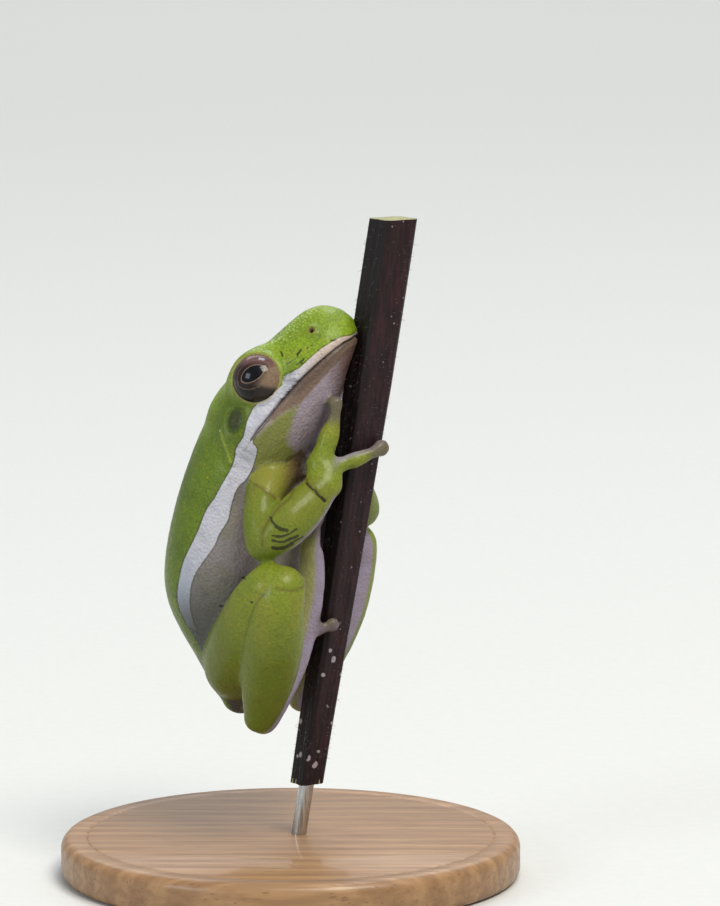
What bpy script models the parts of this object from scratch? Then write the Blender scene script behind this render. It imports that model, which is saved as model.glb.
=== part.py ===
"""A green tree frog gripping a cut length of stem, held up by a plain display stand.

The code works in millimetres and turns the finished meshes to metres. X runs across the view of
the frog's right side, Y away from the viewer, Z up. The origin is the middle of the stand's
underside. Most places are written as they are seen from the viewing side: across, up and depth.
"""

import math

import bmesh
import bpy
from mathutils import Matrix, Vector
from mathutils.bvhtree import BVHTree

# Driving sizes
GAP = 0.3  # left between neighbouring pieces
VIEW_RISE = math.radians(8.0)  # the viewer looks down by this much
BODY_TURN = math.radians(18.0)  # the belly is turned this far towards the viewer
BODY_PIVOT = 4.0  # across, where the frog's midplane meets the stem's plane
HEAD_PITCH = math.radians(48.7)  # the jaw line points up by this much

STEM_FOOT = Vector((2.03, 0.0, 11.6))
STEM_TOP = Vector((12.9, 0.0, 83.0))
STEM_FOOT_RADIUS = 2.1
STEM_TOP_RADIUS = 3.05
STEM_WIDE_FROM = 62.0  # the height at which the stem has its full thickness
STEM_TURN = math.radians(-11.2)  # one corner of the square stem faces the viewer, nearly
STEM_FLAT = 0.24  # how far the flat sides lie inside the corners, of the radius
STEM_SIDES = 32

BASE_RADIUS = 29.0
BASE_HEIGHT = 5.0
BASE_BEVEL = 0.8
ROD_RADIUS = 0.95
ROD_IN_STEM = 4.0
ROD_IN_BASE = 3.0

EYE_RADIUS = 3.35
EYE_OPENING = 3.0  # radius of the ring between the lids
LID_THICK = 0.5
LID_ROUND = 0.3  # radius of the rounded lid edge
EYE_PLACE = (-9.05, 4.62, 5.35)  # ahead of the mouth's front, above the jaw line, beside
EYE_AHEAD = math.radians(14.0)
EYE_UP = math.radians(8.0)
BROW_PLACE = (-9.2, 4.65, 4.4)  # middle of the swelling that carries the eye, as for the eye
BROW_HALF = (5.2, 4.1, 3.7)  # its half lengths ahead, above and beside
NOSTRIL_PLACE = (-0.3, 4.15)
NOSTRIL_ROUND = 0.75
NOSTRIL_PIT = 0.36
EARDRUM_PLACE = (-14.2, 3.3)
EARDRUM_RADIUS = 1.65
EARDRUM_GROOVE = 0.22
EAR_FOLD_ROUND = 0.45
MOUTH_GROOVE = 0.3
LIP_RISE = 0.22  # how far the lips stand proud
LIP_ROUND = 0.55
LIP_APART = 0.8  # from the line of the mouth to the middle of each lip
JAW_SHORTER = 1.6  # the lower lip starts this much further back for each millimetre down
NECK_CUT = -16.2  # the head ends this far behind the mouth's front
HEAD_LEVEL = 1.2  # the head is widest this far above the jaw line
HEAD_SQUARE = 2.3  # power of the head's section, over 2 for squarer shoulders
HEAD_NARROW = 0.22  # the head's top is narrower by this share
TRUNK_SQUARE = 2.15
TRUNK_NARROW = 0.06
PAD_WIDER = 1.25  # radius of a toe pad against the digit's tip
KNEE_HEIGHT = 38.0
HEEL_HEIGHT = 22.0
END_ROUNDING = ((0.93, 0.37), (0.62, 0.79))  # rings of a limb's round end: reach and size
RUMP_ROUNDING = ((0.9, 0.75), (1.5, 0.4))  # rings behind the last trunk station: reach and size
SNOUT_ROUNDING = (0.35, 0.5)  # the ring before the last head station: reach and size
OPENING_PROFILE = ((0.5, 0.0), (2.6, 0.0), (6.0, 1.0))  # the cut between the lids: reach and widening
LID_SUNK = 0.6  # how far the lid's edge lies under the orbit's face, of its own radius
LID_WIDER = 0.9  # how far it lies outside the opening, of its own radius
NOSTRIL_SUNK = 0.4  # how far the nostril's rim lies under the skin, of its own radius
OUTSIDE = 30.0  # beyond the frog on every side

UP = Vector((0.0, 0.0, 1.0))
AWAY = Vector((0.0, 1.0, 0.0))
DIGIT_FACING = AWAY + UP * 0.2
LEFT = Vector((math.sin(BODY_TURN), math.cos(BODY_TURN), 0.0))
BELLY = Vector((math.cos(BODY_TURN), -math.sin(BODY_TURN), 0.0))
FORWARD = BELLY * math.cos(HEAD_PITCH) + UP * math.sin(HEAD_PITCH)
CROWN = UP * math.cos(HEAD_PITCH) - BELLY * math.sin(HEAD_PITCH)


def seen(across, up, depth):
    """The place that is seen at across and up, and lies this deep behind the stem's plane."""
    return Vector((across, depth, (up - depth * math.sin(VIEW_RISE)) / math.cos(VIEW_RISE)))


def on_midplane(across, up):
    return seen(across, up, -(across - BODY_PIVOT) * math.tan(BODY_TURN))


def mirrored(place):
    """The same place on the frog's other side."""
    beside = (place - Vector((BODY_PIVOT, 0.0, 0.0))).dot(LEFT)
    return place - LEFT * (2.0 * beside)


MOUTH_FRONT = on_midplane(6.9, 66.1)


def head_place(ahead, above, beside):
    return MOUTH_FRONT + FORWARD * ahead + CROWN * above + LEFT * beside


# Trunk stations: the back's place, the belly's place, both as seen, and the half width
TRUNK = (
    (-6.0, 62.6, 1.6, 56.4, 5.4),
    (-8.5, 60.4, 1.7, 53.0, 7.0),
    (-11.0, 55.6, 1.7, 49.6, 8.0),
    (-12.9, 50.6, 1.6, 46.0, 8.6),
    (-14.4, 45.4, 1.4, 42.0, 9.0),
    (-15.3, 40.2, 1.0, 37.8, 9.1),
    (-15.2, 35.8, 0.2, 33.4, 8.7),
    (-13.7, 32.0, -0.8, 29.2, 7.9),
    (-11.6, 28.4, -2.0, 25.8, 6.8),
    (-9.8, 25.0, -3.2, 23.2, 5.4),
    (-8.4, 22.2, -4.4, 21.4, 3.6),
)
# Head stations: ahead of the mouth's front, top, bottom, half width
HEAD = (
    (-21.0, 6.0, -4.6, 6.6),
    (-17.5, 8.0, -5.7, 8.0),
    (-14.2, 8.5, -5.6, 8.5),
    (-11.0, 8.4, -5.1, 8.4),
    (-8.0, 8.1, -4.3, 7.9),
    (-5.0, 7.7, -3.3, 7.0),
    (-2.5, 7.4, -2.2, 6.1),
    (-0.6, 7.1, -1.5, 5.2),
    (1.0, 6.5, -0.8, 4.1),
    (2.2, 5.6, 0.0, 2.8),
    (3.0, 4.3, 1.2, 1.5),
)
MOUTH_LINE = ((-14.4, 0.0), (-11.0, 0.35), (-7.0, 0.6), (-2.0, 0.35), (1.4, 0.0))
EAR_FOLD = ((-12.2, 7.6), (-14.4, 6.3), (-16.2, 4.4), (-17.6, 2.2), (-18.6, 0.0))

# Limb stations: across, up, depth, half width across, half depth
RIGHT_LIMBS = {
    "upper_arm": (
        (-1.2, 51.8, -1.0, 2.6, 2.5),
        (-2.8, 48.6, -5.2, 2.3, 2.2),
        (-3.6, 45.2, -8.0, 2.15, 2.2),
        (-3.1, 42.0, -9.6, 2.35, 2.3),
    ),
    "forearm": (
        (-2.6, 42.2, -9.9, 2.35, 2.3),
        (-0.5, 43.9, -9.7, 2.75, 2.5),
        (1.9, 46.3, -8.3, 2.7, 2.3),
        (4.0, 48.7, -6.8, 2.1, 1.8),
    ),
    "thigh": (
        (-7.1, 24.7, 1.2, 3.0, 3.0),
        (-6.9, 26.9, -2.9, 4.0, 4.1),
        (-5.4, 30.4, -7.2, 4.2, 4.2),
        (-3.6, 34.0, -9.8, 3.9, 3.8),
        (-2.1, 36.1, -11.2, 3.6, 3.4),
    ),
    "shank": (
        (-0.8, 36.3, -12.0, 3.0, 3.0),
        (-1.4, 33.8, -12.2, 3.3, 3.2),
        (-1.9, 30.0, -11.0, 3.7, 3.4),
        (-2.5, 26.0, -9.1, 3.5, 3.1),
        (-3.2, 22.6, -7.6, 2.8, 2.6),
        (-3.8, 20.2, -6.6, 2.0, 2.1),
    ),
    "sole": (
        (-3.3, 19.8, -5.6, 1.9, 1.9),
        (-1.7, 22.6, -5.4, 1.9, 1.8),
        (0.2, 26.2, -4.9, 1.8, 1.7),
        (1.3, 29.6, -4.4, 1.75, 1.6),
        (2.1, 33.2, -4.0, 1.85, 1.4),
        (2.7, 37.2, -3.7, 1.75, 1.3),
        (2.8, 40.6, -3.5, 1.5, 1.2),
    ),
    "palm": (
        (4.3, 49.0, -6.5, 2.3, 1.8),
        (4.3, 50.4, -5.9, 2.3, 1.6),
        (4.1, 51.7, -5.2, 1.9, 1.35),
    ),
}
RIGHT_FINGERS = (
    (
        (3.7, 51.6, -5.2, 1.6),
        (4.2, 53.3, -4.8, 1.35),
        (5.0, 55.4, -4.5, 1.25),
        (5.6, 57.4, -4.4, 1.0),
        (5.5, 59.2, -4.2, 0.75),
    ),
    (
        (5.0, 51.2, -5.3, 1.25),
        (6.6, 51.7, -4.7, 1.1),
        (8.3, 52.3, -4.3, 1.0),
        (10.0, 53.0, -3.9, 0.95),
        (11.4, 53.7, -2.6, 0.9),
    ),
    ((4.4, 50.4, -5.4, 1.1), (4.3, 50.4, -3.2, 0.9), (4.3, 50.2, -1.0, 0.8), (4.9, 50.0, 1.2, 0.9)),
    ((4.4, 49.6, -5.6, 1.1), (4.5, 48.4, -3.8, 0.9), (4.2, 47.6, -2.0, 0.8), (4.0, 47.2, -0.2, 0.9)),
)
RIGHT_TOES = (
    ((1.9, 30.2, -4.4, 0.9), (3.2, 30.8, -4.1, 0.75), (4.4, 31.3, -3.7, 0.7), (5.3, 31.6, -3.4, 0.75)),
    ((2.9, 39.8, -3.6, 0.9), (3.2, 42.6, -3.4, 0.7), (3.3, 45.1, -3.2, 0.85)),
    ((2.8, 39.8, -3.5, 0.9), (3.1, 43.4, -3.3, 0.7), (3.4, 47.6, -2.6, 0.9)),
    ((2.5, 39.8, -3.3, 0.9), (2.4, 43.2, -2.7, 0.7), (2.9, 47.8, -1.2, 0.9)),
    ((2.2, 39.4, -3.1, 0.9), (1.9, 42.2, -2.2, 0.7), (2.5, 45.4, -0.9, 0.85)),
)
LEFT_KNEE_SHIFT = Vector((0.8, 0.0, 1.6))
LEFT_ARM = {
    "upper_arm": (
        (-0.6, 6.2, 50.8, 2.5, 2.4),
        (2.6, 9.0, 49.0, 2.3, 2.2),
        (5.9, 10.8, 46.4, 2.2, 2.2),
        (8.8, 11.2, 44.7, 2.4, 2.3),
    ),
    "forearm": (
        (8.9, 11.0, 44.8, 2.4, 2.4),
        (8.5, 8.9, 46.2, 2.6, 2.5),
        (8.0, 6.6, 48.0, 2.3, 2.3),
        (7.9, 5.4, 49.6, 1.8, 1.8),
    ),
    "palm": (
        (7.9, 5.3, 49.8, 1.8, 1.6),
        (8.0, 4.9, 51.2, 1.7, 1.4),
        (8.2, 4.6, 52.4, 1.4, 1.2),
    ),
}
LEFT_FINGERS = (
    ((8.3, 4.5, 52.2, 1.1), (8.9, 4.2, 54.6, 0.9), (9.4, 4.0, 57.0, 0.9)),
    ((8.0, 4.6, 52.0, 1.1), (6.4, 4.2, 52.6, 0.85), (4.9, 3.0, 53.0, 0.8), (4.4, 1.4, 53.2, 0.9)),
    ((7.9, 4.8, 51.0, 1.1), (6.0, 4.0, 50.6, 0.85), (4.6, 3.0, 50.4, 0.9)),
    ((8.0, 4.6, 52.2, 1.1), (7.4, 4.3, 55.0, 0.85), (7.0, 4.1, 57.4, 0.9)),
)


def clear_scene():
    for thing in list(bpy.data.objects):
        bpy.data.objects.remove(thing)


def object_from(bm, name):
    """An object that holds the finished mesh."""
    bmesh.ops.recalc_face_normals(bm, faces=bm.faces)
    mesh = bpy.data.meshes.new(name)
    bm.to_mesh(mesh)
    bm.free()
    thing = bpy.data.objects.new(name, mesh)
    bpy.context.scene.collection.objects.link(thing)
    return thing


def between(a, b, c, d, t):
    """The value at t on the smooth curve from b to c, with a before and d after them."""
    square = (2 * a - 5 * b + 4 * c - d) * t**2
    cube = (3 * b - a - 3 * c + d) * t**3
    return 0.5 * (2 * b + (c - a) * t + square + cube)


def through(stations, steps):
    """Values on a smooth curve through the stations, with this many steps to each span."""
    values = []
    last = len(stations) - 1
    for span in range(last):
        before = stations[max(span - 1, 0)]
        start = stations[span]
        end = stations[span + 1]
        after = stations[min(span + 2, last)]
        for step in range(steps):
            t = step / steps
            values.append(tuple(between(*row, t) for row in zip(before, start, end, after)))
    values.append(stations[last])
    return values


def section(centre, side, top, half_width, rise, drop, sides, power=2.0, narrow=0.0):
    """The points of one cross-section, with a power over 2 for squarer shoulders."""
    points = []
    for k in range(sides):
        turn = 2 * math.pi * k / sides
        c = math.cos(turn)
        s = math.sin(turn)
        out = math.copysign(abs(c) ** (2 / power), c) * half_width * (1 - narrow * max(s, 0.0))
        over = math.copysign(abs(s) ** (2 / power), s) * (rise if s > 0 else drop)
        points.append(centre + side * out + top * over)
    return points


def lofted(rings, name):
    """A closed form through the rings, extruded from one to the next."""
    bm = bmesh.new()
    bmesh.ops.create_circle(bm, cap_ends=True, segments=len(rings[0]), radius=1.0)
    bm.faces.ensure_lookup_table()
    end = bm.faces[0]
    for vert, place in zip(end.verts, rings[0]):
        vert.co = place
    for ring in rings[1:]:
        end = bmesh.ops.extrude_discrete_faces(bm, faces=[end])["faces"][0]
        for vert, place in zip(end.verts, ring):
            vert.co = place
    bmesh.ops.holes_fill(bm, edges=bm.edges, sides=0)
    return object_from(bm, name)


def limb(places, radii, sides, name, facing, grow=0.0):
    """A round-ended form along the places; radii are (across, along the facing way) pairs."""
    rings = []
    last = len(places) - 1
    for k, place in enumerate(places):
        way = (places[min(k + 1, last)] - places[max(k - 1, 0)]).normalized()
        deep = (facing - way * facing.dot(way)).normalized()
        across = way.cross(deep)
        wide = radii[k][0] + grow
        thick = radii[k][1] + grow
        outward = way * (-1 if k == 0 else 1) * min(wide, thick)
        caps = []
        for reach, size in END_ROUNDING:
            deep_half = thick * size
            spot = place + outward * reach
            caps.append(section(spot, across, deep, wide * size, deep_half, deep_half, sides))
        if k == 0:
            rings += caps
        rings.append(section(place, across, deep, wide, thick, thick, sides))
        if k == last:
            rings += reversed(caps)
    return lofted(rings, name)


def limb_through(stations, sides, steps, name, facing, grow=0.0, place=seen):
    """A limb through stations of across, up, depth and one or two radii."""
    values = through(stations, steps)
    places = [place(*value[:3]) for value in values]
    radii = [(value[3], value[-1]) for value in values]
    return limb(places, radii, sides, name, facing, grow)


def ball(centre, radius, name, rings=12, squash=None):
    """A sphere, or an ellipsoid with squash as the matrix of its half axes."""
    bm = bmesh.new()
    bmesh.ops.create_uvsphere(bm, u_segments=2 * rings, v_segments=rings, radius=radius)
    if squash is not None:
        bmesh.ops.transform(bm, matrix=squash.to_4x4(), verts=bm.verts)
    bmesh.ops.translate(bm, vec=centre, verts=bm.verts)
    return object_from(bm, name)


def boolean(target, operation, others):
    """Applies one Boolean with all the others, which are then removed."""
    if not others:
        return target
    group = bpy.data.collections.new("operands")
    bpy.context.scene.collection.children.link(group)
    for other in others:
        group.objects.link(other)
    modifier = target.modifiers.new("join", "BOOLEAN")
    modifier.operation = operation
    modifier.operand_type = "COLLECTION"
    modifier.collection = group
    modifier.solver = "EXACT"
    graph = bpy.context.evaluated_depsgraph_get()
    result = bpy.data.meshes.new_from_object(target.evaluated_get(graph))
    target.modifiers.clear()
    target.data = result
    for other in others:
        bpy.data.objects.remove(other)
    bpy.data.collections.remove(group)
    return target


def keep_largest(thing):
    """Leaves the largest closed surface of a mesh, and takes out needle-thin edges."""
    bm = bmesh.new()
    bm.from_mesh(thing.data)
    bmesh.ops.dissolve_degenerate(bm, edges=bm.edges, dist=0.004)
    bmesh.ops.triangulate(bm, faces=bm.faces)
    waiting = set(bm.faces)
    shells = []
    while waiting:
        found = [waiting.pop()]
        shell = []
        while found:
            face = found.pop()
            shell.append(face)
            for edge in face.edges:
                for near in edge.link_faces:
                    if near in waiting:
                        waiting.remove(near)
                        found.append(near)
        shells.append(shell)
    shells.sort(key=lambda shell: sum(face.calc_area() for face in shell))
    for shell in shells[:-1]:
        bmesh.ops.delete(bm, geom=shell, context="FACES")
    bm.to_mesh(thing.data)
    bm.free()
    return thing


def halved(thing, place, way, name):
    """A copy of the closed form, cut off flat beyond the plane and closed again."""
    bm = bmesh.new()
    bm.from_mesh(thing.data)
    geometry = bm.verts[:] + bm.edges[:] + bm.faces[:]
    bmesh.ops.bisect_plane(bm, geom=geometry, dist=1e-4, plane_co=place, plane_no=way, clear_outer=True)
    rim = [edge for edge in bm.edges if edge.is_boundary]
    bmesh.ops.holes_fill(bm, edges=rim, sides=0)
    return object_from(bm, name)


def stem_axis(height):
    share = (height - STEM_FOOT.z) / (STEM_TOP.z - STEM_FOOT.z)
    return STEM_FOOT.lerp(STEM_TOP, share)


def stem_radius(height):
    share = (height - STEM_FOOT.z) / (STEM_WIDE_FROM - STEM_FOOT.z)
    return STEM_FOOT_RADIUS + (STEM_TOP_RADIUS - STEM_FOOT_RADIUS) * min(max(share, 0.0), 1.0)


def stem_ring(height, grow, sides):
    """A square section with rounded corners and flat sides."""
    points = []
    for k in range(sides):
        turn = 2 * math.pi * k / sides
        flat = 1 - STEM_FLAT * (1 - math.cos(4 * (turn - STEM_TURN))) / 2
        radius = stem_radius(height) * flat + grow
        points.append(stem_axis(height) + Vector((math.cos(turn), math.sin(turn), 0.0)) * radius)
    return points


def stem_form(grow=0.0):
    heights = [STEM_FOOT.z - grow]
    heights += [20.0, 30.0, 40.0, 50.0, STEM_WIDE_FROM, 72.0]
    heights.append(STEM_TOP.z + grow)
    return lofted([stem_ring(height, grow, STEM_SIDES) for height in heights], "stem")


def trunk_form(grow=0.0, sides=28, steps=2):
    rings = []
    for values in through(TRUNK, steps):
        back = on_midplane(*values[:2])
        belly = on_midplane(*values[2:4])
        top = (back - belly).normalized()
        half = (back - belly).length / 2 + grow
        wide = values[4] + grow
        middle = (back + belly) / 2
        rings.append(section(middle, LEFT, top, wide, half, half, sides, TRUNK_SQUARE, TRUNK_NARROW))
    before = (on_midplane(*TRUNK[-2][:2]) + on_midplane(*TRUNK[-2][2:4])) / 2
    way = (middle - before).normalized()
    rump = rings[-1]
    for reach, size in RUMP_ROUNDING:
        rings.append([middle + (point - middle) * size + way * (reach + grow) for point in rump])
    return lofted(rings, "trunk")


def head_form(grow=0.0, sides=32, steps=2):
    rings = []
    for ahead, top, bottom, half in through(HEAD, steps):
        centre = head_place(ahead, HEAD_LEVEL, 0.0)
        rise = top - HEAD_LEVEL + grow
        drop = HEAD_LEVEL - bottom + grow
        wide = half + grow
        rings.append(section(centre, LEFT, CROWN, wide, rise, drop, sides, HEAD_SQUARE, HEAD_NARROW))
    ahead, top, bottom, half = HEAD[-1]
    middle = head_place(ahead, (top + bottom) / 2, 0.0)
    reach, size = SNOUT_ROUNDING
    tip = rings[-1]
    rings.append([middle + (point - middle) * size + FORWARD * (reach + grow) for point in tip])
    return lofted(rings, "head_form")


def eye_axis(side):
    flat = FORWARD * math.sin(EYE_AHEAD) + LEFT * (side * math.cos(EYE_AHEAD))
    return (flat * math.cos(EYE_UP) + CROWN * math.sin(EYE_UP)).normalized()


def eye_centre(side):
    return head_place(EYE_PLACE[0], EYE_PLACE[1], EYE_PLACE[2] * side)


def skin_tree(thing):
    bm = bmesh.new()
    bm.from_mesh(thing.data)
    tree = BVHTree.FromBMesh(bm)
    bm.free()
    return tree


def on_head(tree, ahead, above, side):
    """The skin's place and its outward way, beside the head's midline."""
    start = head_place(ahead, above, OUTSIDE * side)
    place, normal, _, _ = tree.ray_cast(start, LEFT * -side)
    return place, normal


def along_jaw(tree, above, inset):
    """Places in the skin from one corner of the mouth round to the other."""
    places = []
    for ahead, level in through(MOUTH_LINE, 3):
        back = max(-above, 0.0) * JAW_SHORTER
        place, normal = on_head(tree, ahead - back, level + above, -1)
        places.append(place - normal * inset)
    place, normal, _, _ = tree.ray_cast(head_place(OUTSIDE, above, 0.0), -FORWARD)
    places.append(place - normal * inset)
    return places + [mirrored(place) for place in reversed(places[:-1])]


def mouth_cutter(tree):
    places = along_jaw(tree, 0.0, 0.0)
    return limb(places, [(MOUTH_GROOVE, MOUTH_GROOVE)] * len(places), 6, "mouth", CROWN)


def lip(tree, above):
    """A soft ridge beside the line of the mouth."""
    places = along_jaw(tree, above, LIP_ROUND - LIP_RISE)
    return limb(places, [(LIP_ROUND, LIP_ROUND)] * len(places), 7, "lip", CROWN)


def ring_tube(centre, axis, ring_radius, tube_radius, steps, name):
    """A closed ring with a round section, square to the axis."""
    bm = bmesh.new()
    made = bmesh.ops.create_circle(bm, segments=6, radius=tube_radius)
    bmesh.ops.rotate(bm, matrix=Matrix.Rotation(math.pi / 2, 3, "X"), verts=made["verts"])
    bmesh.ops.translate(bm, vec=(ring_radius, 0, 0), verts=made["verts"])
    cent = (0, 0, 0)
    angle = 2 * math.pi
    bmesh.ops.spin(bm, geom=bm.edges[:], axis=UP, cent=cent, steps=steps, angle=angle, use_merge=True)
    turn = UP.rotation_difference(axis).to_matrix().to_4x4()
    bmesh.ops.transform(bm, matrix=turn, verts=bm.verts)
    bmesh.ops.translate(bm, vec=centre, verts=bm.verts)
    return object_from(bm, name)


def eardrum_groove(tree, side):
    centre, normal = on_head(tree, *EARDRUM_PLACE, side)
    return ring_tube(centre, normal, EARDRUM_RADIUS, EARDRUM_GROOVE, 16, "eardrum_groove")


def ear_fold(tree, side):
    """The skin fold that runs from the eye over the eardrum to the shoulder."""
    places = [on_head(tree, ahead, above, side)[0] for ahead, above in through(EAR_FOLD, 2)]
    return limb(places, [(EAR_FOLD_ROUND, EAR_FOLD_ROUND)] * len(places), 6, "ear_fold", LEFT)


def orbit(side):
    """The skin close round the eyeball."""
    return ball(eye_centre(side), EYE_RADIUS + GAP + LID_THICK, "orbit", 11)


def brow(side):
    """The long low swelling from the crown out to the eye."""
    ahead, above, beside = BROW_PLACE
    axes = Matrix((FORWARD * BROW_HALF[0], CROWN * BROW_HALF[1], LEFT * BROW_HALF[2])).transposed()
    return ball(head_place(ahead, above, beside * side), 1.0, "brow", 10, axes)


def lid_edge(side):
    """The rounded edge of the lids, a ring in the opening of the orbit."""
    reach = math.sqrt((EYE_RADIUS + GAP + LID_THICK) ** 2 - EYE_OPENING**2)
    centre = eye_centre(side) + eye_axis(side) * (reach - LID_ROUND * LID_SUNK)
    radius = EYE_OPENING + LID_ROUND * LID_WIDER
    return ring_tube(centre, eye_axis(side), radius, LID_ROUND, 24, "lid_edge")


def eye_opening(side):
    """A straight tunnel in front of the eye, as wide as the lids stand open."""
    centre = eye_centre(side)
    axis = eye_axis(side)
    across = axis.cross(CROWN).normalized()
    over = across.cross(axis)
    rings = []
    for reach, wider in OPENING_PROFILE:
        radius = EYE_OPENING + wider
        rings.append(section(centre + axis * reach, across, over, radius, radius, radius, 24))
    return lofted(rings, "eye_opening")


def nostril_rim(tree, side):
    place, normal = on_head(tree, *NOSTRIL_PLACE, side)
    return ball(place - normal * (NOSTRIL_ROUND * NOSTRIL_SUNK), NOSTRIL_ROUND, "nostril_rim", 6)


def nostril_pit(tree, side):
    place, normal = on_head(tree, *NOSTRIL_PLACE, side)
    return ball(place + normal * NOSTRIL_PIT, NOSTRIL_PIT, "nostril_pit", 5)


def make_trunk_and_head():
    """The head and the torso, modelled whole and parted by a thin cut at the neck."""
    whole = head_form()
    tree = skin_tree(whole)
    sides = (-1, 1)
    added = [trunk_form()]
    for side in sides:
        added += [orbit(side), brow(side), lid_edge(side), ear_fold(tree, side)]
        added.append(nostril_rim(tree, side))
    added += [lip(tree, LIP_APART), lip(tree, -LIP_APART)]
    boolean(whole, "UNION", added)
    cutters = [mouth_cutter(tree), stem_form(GAP)]
    for side in sides:
        cutters.append(ball(eye_centre(side), EYE_RADIUS + GAP, "socket", 10))
        cutters.append(eye_opening(side))
        cutters.append(eardrum_groove(tree, side))
        cutters.append(nostril_pit(tree, side))
    boolean(whole, "DIFFERENCE", cutters)
    head = halved(whole, head_place(NECK_CUT + GAP / 2, 0.0, 0.0), -FORWARD, "head")
    torso = halved(whole, head_place(NECK_CUT - GAP / 2, 0.0, 0.0), FORWARD, "torso")
    bpy.data.objects.remove(whole)
    return keep_largest(head), keep_largest(torso)


def make_eye(side, name):
    return ball(eye_centre(side), EYE_RADIUS, name, 11)


def as_placed(x, y, z):
    return Vector((x, y, z))


def left_place(shift_of):
    """Turns a place seen on the right side into the left side's, moved by a share of the knee's shift."""

    def place(across, up, depth):
        spot = seen(across, up, depth)
        return mirrored(spot) + LEFT_KNEE_SHIFT * shift_of(spot)

    return place


def knee_share(spot):
    """1 at the knee's height and 0 at the heel's."""
    return min(max((spot.z - HEEL_HEIGHT) / (KNEE_HEIGHT - HEEL_HEIGHT), 0.0), 1.0)


def no_shift(spot):
    return 0.0


def digits(lines, grow, place):
    """Fingers or toes with round pads at their tips."""
    pieces = []
    for line in lines:
        pieces.append(limb_through(line, 8, 2, "digit", DIGIT_FACING, grow, place))
        tip = place(*line[-1][:3])
        pieces.append(ball(tip, line[-1][3] * PAD_WIDER + grow, "pad", 5))
    return pieces


def right_form(part, grow=0.0):
    if part == "hand":
        pieces = [limb_through(RIGHT_LIMBS["palm"], 12, 3, "palm", AWAY, grow)]
        return pieces + digits(RIGHT_FINGERS, grow, seen)
    if part == "foot":
        pieces = [limb_through(RIGHT_LIMBS["sole"], 12, 2, "sole", AWAY, grow)]
        return pieces + digits(RIGHT_TOES, grow, seen)
    return [limb_through(RIGHT_LIMBS[part], 14, 3, part, AWAY, grow)]


def left_form(part, grow=0.0):
    if part == "hand":
        pieces = [limb_through(LEFT_ARM["palm"], 12, 3, "palm", AWAY, grow, as_placed)]
        return pieces + digits(LEFT_FINGERS, grow, as_placed)
    if part in LEFT_ARM:
        facing = UP if part == "upper_arm" else Vector((1.0, 0.0, 0.0))
        return [limb_through(LEFT_ARM[part], 14, 3, part, facing, grow, as_placed)]
    if part == "foot":
        place = left_place(no_shift)
        pieces = [limb_through(RIGHT_LIMBS["sole"], 12, 2, "sole", AWAY, grow, place)]
        return pieces + digits((RIGHT_TOES[0][:3],) + RIGHT_TOES[1:], grow, place)
    return [limb_through(RIGHT_LIMBS[part], 14, 3, part, AWAY, grow, left_place(knee_share))]


FORMS = {"right": right_form, "left": left_form}
# Each limb part, and the parts of its own side that it is cut clear of
LIMB_ORDER = (
    ("thigh", ()),
    ("shank", ()),
    ("foot", ("thigh",)),
    ("upper_arm", ("thigh", "shank", "foot")),
    ("forearm", ("thigh", "shank", "foot")),
    ("hand", ("upper_arm", "foot")),
)
# Parts that meet at a bend, where one flat crease parts them
BENDS = (("thigh", "shank"), ("shank", "foot"), ("upper_arm", "forearm"), ("forearm", "hand"))
# Parts that lie folded against each other, so they are joined before the crease parts them
FOLDED = {"thigh": "shank", "shank": "thigh", "upper_arm": "forearm", "forearm": "upper_arm"}
# What also gives way to a part of the other side, where the two meet round the stem
ACROSS = {
    ("left", "thigh"): ("right", "thigh"),
    ("left", "foot"): ("right", "foot"),
    ("right", "hand"): ("left", "foot"),
    ("left", "hand"): ("right", "hand"),
}


def places_along(side, part):
    """The places of a limb part's stations."""
    station = {"hand": "palm", "foot": "sole"}.get(part, part)
    if side == "right":
        line = RIGHT_LIMBS[station]
        place = seen
    elif station in LEFT_ARM:
        line = LEFT_ARM[station]
        place = as_placed
    else:
        line = RIGHT_LIMBS[station]
        place = left_place(no_shift if part == "foot" else knee_share)
    return [place(*row[:3]) for row in line]


def crease(side, near, far):
    """The plane between two parts that meet at a bend; its way points into the near part."""
    before = places_along(side, near)
    after = places_along(side, far)
    bend = (before[-1] + after[0]) / 2
    way = (before[-3] - bend).normalized() - (after[2] - bend).normalized()
    return bend, way.normalized()


def make_limb_part(side, part, clear_of):
    form = FORMS[side]
    pieces = form(part)
    if part in FOLDED:
        pieces += form(FOLDED[part])
    whole = pieces[0]
    boolean(whole, "UNION", pieces[1:])
    cutters = [trunk_form(GAP), head_form(GAP), stem_form(GAP)]
    for other in clear_of:
        cutters += form(other, GAP)
    if (side, part) in ACROSS:
        other_side, other = ACROSS[(side, part)]
        cutters += FORMS[other_side](other, GAP)
    boolean(whole, "DIFFERENCE", cutters)
    for near, far in BENDS:
        if part not in (near, far):
            continue
        bend, way = crease(side, near, far)
        if part == far:
            way = -way
        parted = halved(whole, bend + way * (GAP / 2), -way, part)
        bpy.data.objects.remove(whole)
        whole = parted
    whole.name = side + "_" + part
    return keep_largest(whole)


def cylinder(start, end, radius, sides, name):
    way = (end - start).normalized()
    across = way.cross(AWAY).normalized()
    over = across.cross(way)
    rings = [section(place, across, over, radius, radius, radius, sides) for place in (start, end)]
    return lofted(rings, name)


def make_perch():
    """The cut stem, drilled at its foot for the stand's rod."""
    stem = stem_form()
    stem.name = "perch_stem"
    way = (STEM_TOP - STEM_FOOT).normalized()
    depth = ROD_IN_STEM + GAP
    hole = cylinder(STEM_FOOT - way, STEM_FOOT + way * depth, ROD_RADIUS + GAP, 20, "hole")
    return boolean(stem, "DIFFERENCE", [hole])


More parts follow.
